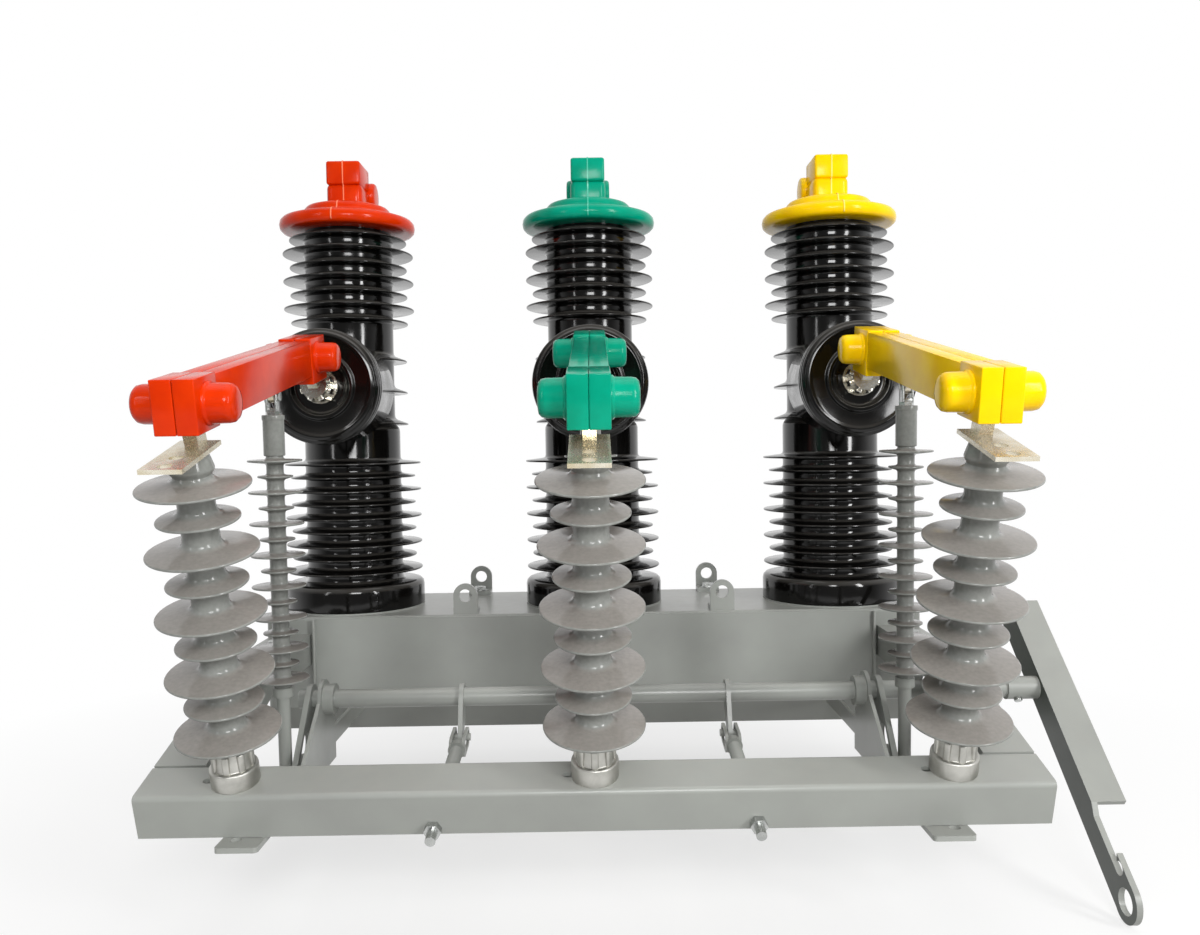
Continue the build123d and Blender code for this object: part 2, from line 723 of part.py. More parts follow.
# Blade covers: coloured shells over the bars, open below, with bolt covers at both ends
for phase_name, phase_x in phases.items():
    with BuildPart() as cover:
        with BuildSketch(blade_plane(phase_x)):
            with BuildLine():
                tail_x = blade_length + cover_tail
                ramp_x = cover_block_length + cover_block_ramp
                rear_x = blade_length - cover_rear_length
                nose_low = (cover_nose ** 2 - cover_block_drop ** 2) ** 0.5
                Polyline((-nose_low, -cover_block_drop), (cover_block_length, -cover_block_drop),
                         (ramp_x, -cover_drop), (rear_x - cover_block_ramp, -cover_drop),
                         (rear_x, -cover_rear_drop), (tail_x, -cover_rear_drop), (tail_x, cover_top),
                         (-cover_nose, cover_top), (-cover_nose, 0))
                RadiusArc((-cover_nose, 0), (-nose_low, -cover_block_drop), -cover_nose)
            make_face()
        extrude(amount=cover_width / 2, both=True)
        fillet(cover.faces().sort_by(Axis.Z)[-1].edges(), cover_edge_radius)
        with BuildSketch(blade_plane(phase_x)):
            with Locations((0, 0), (blade_length, 0)):
                Circle(bolt_cover_radius)
        extrude(amount=bolt_cover_width / 2, both=True)
        with BuildSketch(blade_plane(phase_x)):
            with BuildLine():
                cavity_front = cover_nose_wall - cover_nose
                cavity_rear = tail_x + cut_overrun
                cavity_low = -2 * cover_nose
                cavity_top = cover_top - cover_wall
                Polyline((cavity_front, cavity_low), (cavity_rear, cavity_low), (cavity_rear, cavity_top),
                         (cavity_front, cavity_top), close=True)
            make_face()
        extrude(amount=cover_width / 2 - cover_wall, both=True, mode=Mode.SUBTRACT)
    finish(cover, f"blade_cover_{phase_name}")

# Pull rods: a fork at the blade, a shedded insulator and a link down to the crank
rod_length = hypot(crank_pin_y - rod_top_y, crank_pin_z - rod_top_z)
rod_down = (0, (crank_pin_y - rod_top_y) / rod_length, (crank_pin_z - rod_top_z) / rod_length)
sleeve_start = fork_height - rod_lug_radius
shank_start = sleeve_start + rod_sleeve_length
shank_end = rod_first_shed + 2 * rod_shed_pairs * rod_shed_pitch + rod_shed_pitch / 2
inner_sides = {"left": 1, "centre": -1, "right": -1}


def rod_plane(x):
    """Plane across X at a phase, from the rod's upper pin, with its own X down the rod."""
    return Plane(origin=(x, rod_top_y, rod_top_z), x_dir=rod_down, z_dir=(1, 0, 0))


for phase_name, phase_x in phases.items():
    rod_axis = Axis((phase_x, rod_top_y, rod_top_z), rod_down)
    inner = inner_sides[phase_name]
    with BuildPart() as upper_fitting:
        with BuildSketch(rod_plane(phase_x)):
            with Locations(((fork_height - rod_lug_radius) / 2, 0)):
                SlotOverall(fork_height + fork_depth / 2, fork_depth)
        extrude(amount=fork_gap / 2 + fork_cheek, both=True)
        with BuildSketch(rod_plane(phase_x)):
            with Locations((sleeve_start - fork_cheek - fork_height, 0)):
                Rectangle(2 * fork_height, 2 * fork_depth)
        extrude(amount=fork_gap / 2, both=True, mode=Mode.SUBTRACT)
        with BuildSketch(rod_plane(phase_x)):
            Circle(fork_pin_radius)
        extrude(amount=fork_gap / 2 + fork_cheek, both=True)
        with BuildSketch(turned_plane((phase_x, rod_top_y, rod_top_z), (1, 0, 0), rod_down)):
            with BuildLine():
                Polyline((0, sleeve_start), (rod_sleeve_radius, sleeve_start),
                         (rod_sleeve_radius, shank_start), (0, shank_start), close=True)
            make_face()
        revolve(axis=rod_axis)
    finish(upper_fitting, f"rod_fork_{phase_name}")

    with BuildPart() as rod_insulator:
        with BuildSketch(turned_plane((phase_x, rod_top_y, rod_top_z), (1, 0, 0), rod_down)):
            with BuildLine():
                rod_sheds = shed_stack(rod_shank_radius, rod_first_shed, rod_shed_pitch, rod_shed_pairs,
                                       rod_shed_radius, rod_small_radius, rod_shed_rise, rod_shed_drop,
                                       rod_shed_lip)
                Polyline((0, shank_start), (rod_shank_radius, shank_start), *rod_sheds,
                         (rod_shank_radius, shank_end), (0, shank_end), close=True)
            make_face()
        revolve(axis=rod_axis)
    finish(rod_insulator, f"rod_insulator_{phase_name}")

    with BuildPart() as link:
        with BuildSketch(turned_plane((phase_x, rod_top_y, rod_top_z), (1, 0, 0), rod_down)):
            with BuildLine():
                ferrule_end = shank_end + ferrule_height
                Polyline((0, shank_end), (ferrule_radius, shank_end), (ferrule_radius, ferrule_end),
                         (link_radius, ferrule_end), (link_radius, rod_length), (0, rod_length), close=True)
            make_face()
        revolve(axis=rod_axis)
        with BuildSketch(rod_plane(phase_x)):
            with Locations((rod_length, 0)):
                Circle(link_eye_radius)
        extrude(amount=link_eye_thickness / 2, both=True)
        with BuildSketch(rod_plane(phase_x)):
            with Locations((rod_length, 0)):
                Circle(link_pin_radius)
        extrude(amount=inner * (crank_inset + crank_thickness + link_pin_tail))
    finish(link, f"rod_link_{phase_name}")

# Operating shaft: a round bar with three slotted cranks and two spring levers welded on
crank_radius = hypot(crank_pin_y - shaft_y, crank_pin_z - shaft_z)
crank_dir = (0, (crank_pin_y - shaft_y) / crank_radius, (crank_pin_z - shaft_z) / crank_radius)
strut_arm = hypot(strut_pin_y - shaft_y, strut_pin_z - shaft_z)
strut_arm_dir = (0, (strut_pin_y - shaft_y) / strut_arm, (strut_pin_z - shaft_z) / strut_arm)
crank_reach = crank_inset + crank_thickness
shaft_left_x = crank_reach - phase_pitch - crank_thickness - shaft_left_overhang
with BuildPart() as drive_shaft:
    with BuildSketch(side_plane(shaft_left_x)):
        with Locations((shaft_y, shaft_z)):
            Circle(shaft_radius)
    extrude(amount=lever_x - shaft_left_x)
    with BuildSketch(side_plane(lever_x - sleeve_length)):
        with Locations((shaft_y, shaft_z)):
            Circle(sleeve_radius)
    extrude(amount=sleeve_length)
    for phase_name, phase_x in phases.items():
        crank_x = phase_x + inner_sides[phase_name] * (crank_inset + crank_thickness / 2)
        with BuildSketch(Plane(origin=(crank_x, shaft_y, shaft_z), x_dir=crank_dir, z_dir=(1, 0, 0))):
            Circle(crank_hub_radius)
            with Locations((crank_radius, 0)):
                Circle(crank_end_radius)
            make_hull()
            with Locations((crank_radius - crank_slot_length / 2, 0)):
                SlotCenterToCenter(crank_slot_length, 2 * crank_slot_radius, mode=Mode.SUBTRACT)
        extrude(amount=crank_thickness / 2, both=True)
    for side in sides.values():
        strut_lever_plane = Plane(origin=(side * strut_x, shaft_y, shaft_z),
                                  x_dir=strut_arm_dir, z_dir=(1, 0, 0))
        with BuildSketch(strut_lever_plane):
            Circle(strut_lever_hub_radius)
            with Locations((strut_arm, 0)):
                Circle(strut_lever_end_radius)
            make_hull()
        extrude(amount=strut_lever_thickness / 2, both=True)
        with BuildSketch(strut_lever_plane):
            with Locations((strut_arm, 0)):
                Circle(strut_pin_radius)
        extrude(amount=strut_fork_gap / 2 + strut_fork_cheek + strut_lever_thickness / 2, both=True)
finish(drive_shaft, "drive_shaft")

# Operating lever: a flat bar with a rib, a hook notch and an eye at its lower end
with BuildPart() as operating_lever:
    slope = radians(lever_slope)
    lever_plane = Plane(origin=(lever_x, shaft_y, shaft_z),
                        x_dir=(0, -cos(slope), -sin(slope)), z_dir=(1, 0, 0))
    with BuildSketch(lever_plane):
        half_width = lever_width / 2
        lever_end = half_width - lever_rear
        neck_edge = half_width - lever_neck_width
        neck_start = lever_rib_front + lever_neck_ramp
        notch_x = lever_front - lever_notch_inset
        notch_y = neck_edge - lever_notch_radius
        eye_x = lever_front - lever_eye_radius
        with BuildLine():
            Polyline((lever_end, -half_width), (lever_rib_front, -half_width), (neck_start, neck_edge),
                     (notch_x, neck_edge), (notch_x - lever_barb_height, notch_y - lever_notch_radius),
                     (eye_x, -lever_eye_radius - lever_eye_shift), (eye_x, half_width),
                     (lever_end, half_width), close=True)
        make_face()
        with Locations((lever_end, 0)):
            Circle(half_width)
        with Locations((eye_x, -lever_eye_shift)):
            Circle(lever_eye_radius)
            Circle(lever_hole_radius, mode=Mode.SUBTRACT)
        with Locations((notch_x, notch_y)):
            Circle(lever_notch_radius, mode=Mode.SUBTRACT)
    extrude(amount=lever_thickness)
    with BuildSketch(lever_plane.offset(lever_thickness)):
        rib_mid = (lever_rib_front - lever_rear + lever_width) / 2
        with Locations((rib_mid, (lever_thickness - lever_width) / 2)):
            Rectangle(lever_rib_front + lever_rear - lever_width, lever_thickness)
    extrude(amount=lever_rib_height)
finish(operating_lever, "operating_lever")

# Spring struts: a coiled spring between two forks, and the bolt that anchors it in the beam
anchor_y, anchor_z = deck_point(anchor_along, -anchor_drop)
strut_length = hypot(strut_pin_y - anchor_y, strut_pin_z - anchor_z)
strut_dir = (0, (strut_pin_y - anchor_y) / strut_length, (strut_pin_z - anchor_z) / strut_length)
strut_slot_radius = strut_pin_radius + strut_slot_clearance
strut_body_end = strut_length - strut_slot_length - strut_lever_end_radius
for side_name, side in sides.items():
    strut_plane = Plane(origin=(side * strut_x, anchor_y, anchor_z), x_dir=strut_dir, z_dir=(1, 0, 0))
    with BuildPart() as anchor:
        bolt_start = -beam_width / 2 - anchor_bolt_tail
        bolt_y, bolt_z = deck_point(bolt_start, -anchor_drop)
        bolt_plane = Plane(origin=(side * strut_x, bolt_y, bolt_z),
                           x_dir=(1, 0, 0), z_dir=(0, tilt_cos, tilt_sin))
        with BuildSketch(bolt_plane):
            Circle(anchor_bolt_radius)
        extrude(amount=anchor_along - bolt_start)
        with BuildSketch(bolt_plane.offset(anchor_bolt_tail - anchor_nut_height)):
            RegularPolygon(anchor_nut_radius, 6)
        extrude(amount=anchor_nut_height)
        with BuildSketch(strut_plane):
            Circle(anchor_eye_radius)
        extrude(amount=anchor_eye_thickness / 2, both=True)
        with BuildSketch(strut_plane):
            Circle(strut_pin_radius)
        extrude(amount=strut_fork_gap / 2 + strut_fork_cheek, both=True)
    finish(anchor, f"spring_anchor_{side_name}")

    with BuildPart() as strut:
        strut_start = anchor_eye_radius + strut_fork_cheek
        coil_start = strut_start + strut_collar_length
        coil_end = strut_body_end - strut_collar_length
        coil_count = round((coil_end - coil_start) / strut_coil_pitch)
        coil_step = (coil_end - coil_start) / coil_count
        coils = []
        for i in range(coil_count):
            valley = coil_start + i * coil_step
            coils += [(strut_core_radius, valley), (strut_body_radius, valley + coil_step / 2)]
        with BuildSketch(turned_plane((side * strut_x, anchor_y, anchor_z), (1, 0, 0), strut_dir)):
            with BuildLine():
                Polyline((0, strut_start), (strut_collar_radius, strut_start),
                         (strut_collar_radius, coil_start), *coils, (strut_core_radius, coil_end),
                         (strut_collar_radius, coil_end),
                         (strut_collar_radius, strut_body_end), (0, strut_body_end), close=True)
            make_face()
        revolve(axis=Axis((side * strut_x, anchor_y, anchor_z), strut_dir))
        for cheek in (-1, 1):
            cheek_x = side * strut_x + cheek * (strut_fork_gap + strut_fork_cheek) / 2
            with BuildSketch(Plane(origin=(cheek_x, anchor_y, anchor_z), x_dir=strut_dir, z_dir=(1, 0, 0))):
                fork_end = strut_start + strut_collar_length / 2
                with Locations(((fork_end - anchor_eye_radius) / 2, 0)):
                    SlotOverall(fork_end + anchor_eye_radius, 2 * anchor_eye_radius)
                Circle(strut_pin_radius + running_clearance, mode=Mode.SUBTRACT)
                fork_start = strut_body_end - strut_collar_length
                with Locations(((fork_start + strut_length + strut_fork_depth / 2) / 2, 0)):
                    SlotOverall(strut_length + strut_fork_depth / 2 - fork_start, strut_fork_depth)
                with Locations((strut_length - strut_slot_length / 2, 0)):
                    SlotCenterToCenter(strut_slot_length, 2 * strut_slot_radius, mode=Mode.SUBTRACT)
            extrude(amount=strut_fork_cheek / 2, both=True)
    finish(strut, f"spring_strut_{side_name}")
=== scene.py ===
# %% [markdown]
# # Outdoor vacuum circuit breaker with a three-phase disconnector
# The machine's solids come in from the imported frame, in metres, with X across the phases,
# Y to the rear and Z up. They already stand where they belong, so this lesson leaves the plain
# steel parts as they are, gives every part its finish, and models anew the moulded and cast
# pieces whose soft edges a solid does not have.

from math import cos, pi, radians, sin

import bpy
from mathutils import Matrix, Vector


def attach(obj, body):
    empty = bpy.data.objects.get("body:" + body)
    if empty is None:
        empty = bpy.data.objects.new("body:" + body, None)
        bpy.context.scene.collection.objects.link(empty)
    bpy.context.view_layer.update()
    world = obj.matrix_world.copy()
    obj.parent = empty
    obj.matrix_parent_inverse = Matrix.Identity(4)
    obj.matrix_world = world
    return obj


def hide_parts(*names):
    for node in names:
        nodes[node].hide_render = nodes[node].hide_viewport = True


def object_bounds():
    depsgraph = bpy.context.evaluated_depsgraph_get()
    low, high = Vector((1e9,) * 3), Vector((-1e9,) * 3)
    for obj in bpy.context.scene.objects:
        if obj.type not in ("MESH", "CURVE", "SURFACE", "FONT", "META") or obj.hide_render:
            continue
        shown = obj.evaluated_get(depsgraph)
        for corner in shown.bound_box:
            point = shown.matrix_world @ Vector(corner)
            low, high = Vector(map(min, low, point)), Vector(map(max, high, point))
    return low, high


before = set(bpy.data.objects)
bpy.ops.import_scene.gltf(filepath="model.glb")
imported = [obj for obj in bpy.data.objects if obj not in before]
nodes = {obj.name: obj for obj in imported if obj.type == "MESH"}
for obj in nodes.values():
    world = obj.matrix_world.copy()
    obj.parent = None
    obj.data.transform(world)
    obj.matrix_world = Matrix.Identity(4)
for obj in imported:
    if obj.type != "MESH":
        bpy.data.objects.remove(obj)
cad_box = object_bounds()
MM = 0.001
phase_x = {"left": -340.0, "centre": 0.0, "right": 340.0}
print("CAD nodes:", len(nodes), "box:", [tuple(round(c, 3) for c in corner) for corner in cad_box])

# %% [markdown]
# ## Camera
# The picture was taken from just over a metre in front of the feet, with the eye level with the
# middle of the lower sheds, looking a little down. A wide 30 mm lens gives the strong perspective
# of the outer poles. The small roll is the way the camera was held.

# %% Place the camera
eye_mm = (4.5, -1039.2, 370.1)
look_down = radians(2.2005)
look_right = radians(0.2633)
held_roll = radians(-0.8704)
bpy.ops.object.select_all(action="DESELECT")
bpy.ops.object.camera_add()
camera = bpy.context.object
camera.name = "photo_camera"
camera.matrix_world = (
    Matrix.Translation(Vector(eye_mm) * MM)
    @ Matrix.Rotation(-look_right, 4, "Z")
    @ Matrix.Rotation(pi / 2 - look_down, 4, "X")
    @ Matrix.Rotation(held_roll, 4, "Z")
)
camera.data.sensor_width = 36.0
camera.data.lens = 30.0
camera.data.shift_y = 0.0105
camera.data.clip_start = 0.05
bpy.context.scene.camera = camera
print("camera at", [round(c, 3) for c in camera.location])

# %% [markdown]
# ## Colours and nodes
# Colours are noted as sRGB hex values, as a paint card gives them. Shaders work in linear light,
# so one function converts them. A second small function adds a node to a material, sets it and
# links it, which keeps each finish below to a few readable lines.

# %% Hex colours and a node helper
def linear(hex_colour):
    """Linear RGBA of an sRGB hex colour."""
    channels = [int(hex_colour[i:i + 2], 16) / 255 for i in (1, 3, 5)]
    return [c / 12.92 if c <= 0.04045 else ((c + 0.055) / 1.055) ** 2.4 for c in channels] + [1.0]


def add_node(tree, kind, inputs, **settings):
    """Add a node, set its properties, and fill or link its inputs."""
    made = tree.nodes.new(kind)
    for key, value in settings.items():
        setattr(made, key, value)
    for key, value in inputs.items():
        if isinstance(value, bpy.types.NodeSocket):
            tree.links.new(value, made.inputs[key])
        else:
            made.inputs[key].default_value = value
    return made


def start_finish(name):
    """A new material with its tree, its shader and the object coordinates in metres."""
    made = bpy.data.materials.new(name)
    made.use_nodes = True
    tree = made.node_tree
    shader = tree.nodes["Principled BSDF"]
    place = add_node(tree, "ShaderNodeTexCoord", {}).outputs["Object"]
    return made, tree, shader, place


def per_metre(size_mm):
    """Noise scale whose features are about this many millimetres wide."""
    return 1000.0 / size_mm


print("middle grey in linear light:", round(linear("#808080")[0], 3))

# %% [markdown]
# ## Grey enamel on sheet steel
# The box, the beam, the arms, the shaft and the lever are folded steel under a sprayed enamel.
# Sprayed paint is satin, not flat: it has a fine orange peel about 2 mm across, cloudy changes of
# tone over a hand's width, and a little dust where it faces up. Three noises at those real sizes
# give all of that. The lever's side that faces the machine lies in shade, and that shade is painted
# into its enamel: a second, dark colour for faces that look along -X.

# %% Grey enamel
def make_enamel(name, inner=None):
    """Sprayed satin enamel: even grey, fine orange peel, dust on top, painted shade on the -X side.
    """
    made, tree, shader, place = start_finish(name)
    cloud = add_node(tree, "ShaderNodeTexNoise", {
        "Vector": place, "Scale": per_metre(90), "Detail": 4.0})
    tone = add_node(tree, "ShaderNodeValToRGB", {"Fac": cloud.outputs["Fac"]})
    tone.color_ramp.elements[0].position = 0.3
    tone.color_ramp.elements[0].color = linear("#91938F")
    tone.color_ramp.elements[1].position = 0.7
    tone.color_ramp.elements[1].color = linear("#9B9E99")
    facing = add_node(tree, "ShaderNodeSeparateXYZ", {
        "Vector": add_node(tree, "ShaderNodeNewGeometry", {}).outputs["Normal"]})
    speck = add_node(tree, "ShaderNodeTexNoise", {
        "Vector": place, "Scale": per_metre(14), "Detail": 6.0})
    dust = add_node(tree, "ShaderNodeMapRange", {
        "Value": facing.outputs["Z"], "From Min": 0.5, "From Max": 1.0,
        "To Min": 0.0, "To Max": 0.55})
    settled = add_node(tree, "ShaderNodeMath", {
        0: dust.outputs["Result"], 1: speck.outputs["Fac"]}, operation="MULTIPLY")
    dusty = add_node(tree, "ShaderNodeMix", {
        0: settled.outputs[0], 6: tone.outputs["Color"], 7: linear("#A19F98")}, data_type="RGBA")
    colour = dusty.outputs[2]
    if inner:
        # Painted shade: faces that look along -X take the dark colour.
        shade_side_mask = add_node(tree, "ShaderNodeMapRange", {
            "Value": facing.outputs["X"], "From Min": -0.9, "From Max": -0.6,
            "To Min": 1.0, "To Max": 0.0})
        colour = add_node(tree, "ShaderNodeMix", {
            0: shade_side_mask.outputs["Result"], 6: colour, 7: linear(inner)}, data_type="RGBA").outputs[2]
    tree.links.new(colour, shader.inputs["Base Color"])
    sheen = add_node(tree, "ShaderNodeMapRange", {
        "Value": speck.outputs["Fac"], "From Min": 0.3, "From Max": 0.7,
        "To Min": 0.28, "To Max": 0.33})
    tree.links.new(sheen.outputs["Result"], shader.inputs["Roughness"])
    peel = add_node(tree, "ShaderNodeTexNoise", {
        "Vector": place, "Scale": per_metre(2.2), "Detail": 2.0})
    bump = add_node(tree, "ShaderNodeBump", {
        "Height": peel.outputs["Fac"], "Strength": 0.10, "Distance": 0.4 * MM})
    tree.links.new(bump.outputs["Normal"], shader.inputs["Normal"])
    return made


enamel = make_enamel("grey_enamel_on_steel")
# The lever's enamel paints shade onto its -X faces with a dark green-grey.
lever_enamel = make_enamel("grey_enamel_with_painted_shade", "#3C443C")
print("made", enamel.name, lever_enamel.name)

# %% [markdown]
# ## Cast epoxy
# The poles are black epoxy cast in polished moulds. The resin is glossy, with a very slight
# waviness where it shrank, and dust dulls it in patches. It is dark, so almost all that the eye
# sees of it is reflection: roughness matters more than colour. The lips of the sheds, which face
# half up, are painted lighter grey as a painted highlight for the light their rounded edges catch,
# so a ramp on the upward part of the normal colours them.

# %% Black epoxy
def make_epoxy():
    """Glossy cast resin: near black, painted highlight on the shed lips, long ripples, dull
    patches.
    """
    made, tree, shader, place = start_finish("black_cast_epoxy")
    facing = add_node(tree, "ShaderNodeSeparateXYZ", {
        "Vector": add_node(tree, "ShaderNodeNewGeometry", {}).outputs["Normal"]})
    # Painted highlight: faces that look half up, the shed lips, turn lighter grey.
    lip = add_node(tree, "ShaderNodeValToRGB", {"Fac": facing.outputs["Z"]})
    lip.color_ramp.elements[0].position = 0.15
    lip.color_ramp.elements[0].color = linear("#0A0908")
    lip.color_ramp.elements[1].position = 0.97
    lip.color_ramp.elements[1].color = linear("#0A0908")
    for position in (0.4, 0.8):
        lip.color_ramp.elements.new(position).color = linear("#3A3835")
    tree.links.new(lip.outputs["Color"], shader.inputs["Base Color"])
    shader.inputs["IOR"].default_value = 1.5
    shader.inputs["Specular IOR Level"].default_value = 0.42
    haze = add_node(tree, "ShaderNodeTexNoise", {
        "Vector": place, "Scale": per_metre(35), "Detail": 5.0})
    gloss = add_node(tree, "ShaderNodeMapRange", {
        "Value": haze.outputs["Fac"], "From Min": 0.35, "From Max": 0.7,
        "To Min": 0.08, "To Max": 0.18})
    tree.links.new(gloss.outputs["Result"], shader.inputs["Roughness"])
    ripple = add_node(tree, "ShaderNodeTexNoise", {
        "Vector": place, "Scale": per_metre(16), "Detail": 1.0})
    bump = add_node(tree, "ShaderNodeBump", {
        "Height": ripple.outputs["Fac"], "Strength": 0.10, "Distance": 0.8 * MM})
    tree.links.new(bump.outputs["Normal"], shader.inputs["Normal"])
    return made


epoxy = make_epoxy()
print("made", epoxy.name)

# %% [markdown]
# ## Coloured silicone
# The caps and blade covers are moulded silicone in the three phase colours. Silicone has a waxy
# half-gloss and a fine moulded grain, and its colour is a touch deeper where the wall is thick.
# One function makes it, because only the two colours differ. The mould lines are paler, partly
# because the rubber there was cut and partly as a painted highlight for the light the ridge
# catches.

# %% Phase colours
def make_silicone(name, light, deep):
    """Moulded silicone: waxy half-gloss, fine grain, cloudy depth."""
    made, tree, shader, place = start_finish(name)
    cloud = add_node(tree, "ShaderNodeTexNoise", {
        "Vector": place, "Scale": per_metre(28), "Detail": 5.0})
    tone = add_node(tree, "ShaderNodeValToRGB", {"Fac": cloud.outputs["Fac"]})
    tone.color_ramp.elements[0].position = 0.32
    tone.color_ramp.elements[0].color = linear(deep)
    tone.color_ramp.elements[1].position = 0.66
    tone.color_ramp.elements[1].color = linear(light)
    tree.links.new(tone.outputs["Color"], shader.inputs["Base Color"])
    shader.inputs["IOR"].default_value = 1.43
    shader.inputs["Specular IOR Level"].default_value = 0.19
    grain = add_node(tree, "ShaderNodeTexNoise", {
        "Vector": place, "Scale": per_metre(1.4), "Detail": 3.0})
    waxy = add_node(tree, "ShaderNodeMapRange", {
        "Value": grain.outputs["Fac"], "From Min": 0.3, "From Max": 0.7,
        "To Min": 0.14, "To Max": 0.22})
    tree.links.new(waxy.outputs["Result"], shader.inputs["Roughness"])
    bump = add_node(tree, "ShaderNodeBump", {
        "Height": grain.outputs["Fac"], "Strength": 0.08, "Distance": 0.3 * MM})
    tree.links.new(bump.outputs["Normal"], shader.inputs["Normal"])
    return made


phase_silicone = {
    "left": make_silicone("red_moulded_silicone", "#D43300", "#C82B00"),
    "centre": make_silicone("green_moulded_silicone", "#009A7C", "#008C6E"),
    "right": make_silicone("yellow_moulded_silicone", "#FFD300", "#F8C600"),
}
# Seam rubber is paler: partly cut rubber, partly a painted highlight on the ridge.
trimmed_highlit_silicone = {
    "left": make_silicone("red_trimmed_highlit_silicone", "#F28A68", "#EA7A56"),
    "centre": make_silicone("green_trimmed_highlit_silicone", "#5CC4A8", "#48B498"),
    "right": make_silicone("yellow_trimmed_highlit_silicone", "#FFE684", "#FADC6C"),
}
print("made", [made.name for made in (*phase_silicone.values(), *trimmed_highlit_silicone.values())])

# %% [markdown]
# ## Grey insulator silicone
# The post insulators and the pull rods have sheds of grey outdoor silicone rubber. It is slightly
# chalky but keeps a soft gloss, and the upper sides of the sheds carry a warm film of dust, so the
# colour is mixed by how far the surface faces up.

# %% Insulator silicone
def make_insulator_silicone():
    """Outdoor silicone rubber: soft gloss, chalky grey, a warm dust film on upward faces."""
    made, tree, shader, place = start_finish("grey_insulator_silicone")
    chalk = add_node(tree, "ShaderNodeTexNoise", {
        "Vector": place, "Scale": per_metre(22), "Detail": 6.0})
    tone = add_node(tree, "ShaderNodeValToRGB", {"Fac": chalk.outputs["Fac"]})
    tone.color_ramp.elements[0].position = 0.3
    tone.color_ramp.elements[0].color = linear("#7F817D")
    tone.color_ramp.elements[1].position = 0.7
    tone.color_ramp.elements[1].color = linear("#8A8C88")
    facing = add_node(tree, "ShaderNodeSeparateXYZ", {
        "Vector": add_node(tree, "ShaderNodeNewGeometry", {}).outputs["Normal"]})
    film = add_node(tree, "ShaderNodeMapRange", {
        "Value": facing.outputs["Z"], "From Min": 0.45, "From Max": 0.95,
        "To Min": 0.0, "To Max": 0.75})
    dusty = add_node(tree, "ShaderNodeMix", {
        0: film.outputs["Result"], 6: tone.outputs["Color"], 7: linear("#8E8781")},
        data_type="RGBA")
    mottle = add_node(tree, "ShaderNodeTexNoise", {
        "Vector": place, "Scale": per_metre(4), "Detail": 5.0})
    shade = add_node(tree, "ShaderNodeMapRange", {
        "Value": mottle.outputs["Fac"], "From Min": 0.3, "From Max": 0.7,
        "To Min": 0.90, "To Max": 1.06})
    mottled = add_node(tree, "ShaderNodeVectorMath", {
        0: dusty.outputs[2], "Scale": shade.outputs["Result"]}, operation="SCALE")
    tree.links.new(mottled.outputs["Vector"], shader.inputs["Base Color"])
    shader.inputs["Roughness"].default_value = 0.17
    shader.inputs["IOR"].default_value = 1.43
    bump = add_node(tree, "ShaderNodeBump", {
        "Height": chalk.outputs["Fac"], "Strength": 0.06, "Distance": 0.5 * MM})
    tree.links.new(bump.outputs["Normal"], shader.inputs["Normal"])
    return made


insulator_silicone = make_insulator_silicone()
print("made", insulator_silicone.name)

# %% [markdown]
# ## Bare metals
# Four bare metals are left. The insulators' feet are sand-cast aluminium, with a grain of about a
# millimetre. The terminal plates and blades are tinned copper, wiped along their length. The
# contacts are polished by the blades, and clevises, bolts and pins are zinc-plated steel. They
# differ in colour, roughness and the shape of their grain, so one function takes those. Old tin
# has a skin of oxide, so that one is not wholly metallic.

# %% Metals
def make_metal(name, bright, dull, roughness, grain_mm, stretch, relief, metallic=1.0):
    """Bare metal whose grain has this size and is stretched along Y."""
    made, tree, shader, place = start_finish(name)
    rough_spread = 0.07
    shader.inputs["Metallic"].default_value = metallic
    drawn = add_node(tree, "ShaderNodeMapping", {
        "Vector": place, "Scale": (1.0, 1.0 / stretch, 1.0)})
    grain = add_node(tree, "ShaderNodeTexNoise", {
        "Vector": drawn.outputs["Vector"], "Scale": per_metre(grain_mm), "Detail": 4.0})
    stain = add_node(tree, "ShaderNodeTexNoise", {
        "Vector": place, "Scale": per_metre(18), "Detail": 5.0})
    tone = add_node(tree, "ShaderNodeValToRGB", {"Fac": stain.outputs["Fac"]})
    tone.color_ramp.elements[0].position = 0.35
    tone.color_ramp.elements[0].color = linear(dull)
    tone.color_ramp.elements[1].position = 0.65
    tone.color_ramp.elements[1].color = linear(bright)
    tree.links.new(tone.outputs["Color"], shader.inputs["Base Color"])
    rough = add_node(tree, "ShaderNodeMapRange", {
        "Value": grain.outputs["Fac"], "From Min": 0.3, "From Max": 0.7,
        "To Min": roughness - rough_spread, "To Max": roughness + rough_spread})
    tree.links.new(rough.outputs["Result"], shader.inputs["Roughness"])
    bump = add_node(tree, "ShaderNodeBump", {
        "Height": grain.outputs["Fac"], "Strength": relief, "Distance": 0.3 * MM})
    tree.links.new(bump.outputs["Normal"], shader.inputs["Normal"])
    return made


cast_aluminium = make_metal(
    "sand_cast_aluminium", "#C4C3BD", "#A9A8A2",
    roughness=0.44, grain_mm=1.4, stretch=1.0, relief=0.35)
tinned_copper = make_metal(
    "tinned_copper", "#E6E0D0", "#D0C4A6",
    roughness=0.26, grain_mm=0.8, stretch=12.0, relief=0.12, metallic=0.75)
polished_contact = make_metal(
    "silvered_contact_copper", "#E6E4DC", "#C9C4B6",
    roughness=0.22, grain_mm=0.9, stretch=6.0, relief=0.08)
zinc_steel = make_metal(
    "zinc_plated_steel", "#C4C6C4", "#A6A8A6",
    roughness=0.30, grain_mm=0.7, stretch=1.0, relief=0.10)
print("made", [made.name for made in (cast_aluminium, tinned_copper, polished_contact, zinc_steel)])

# %% [markdown]
# ## Finishes for the solids
# Each solid's name says what it is, so a short table from the first words of a name to a finish
# dresses all of them. The coloured ones take the finish of their phase.

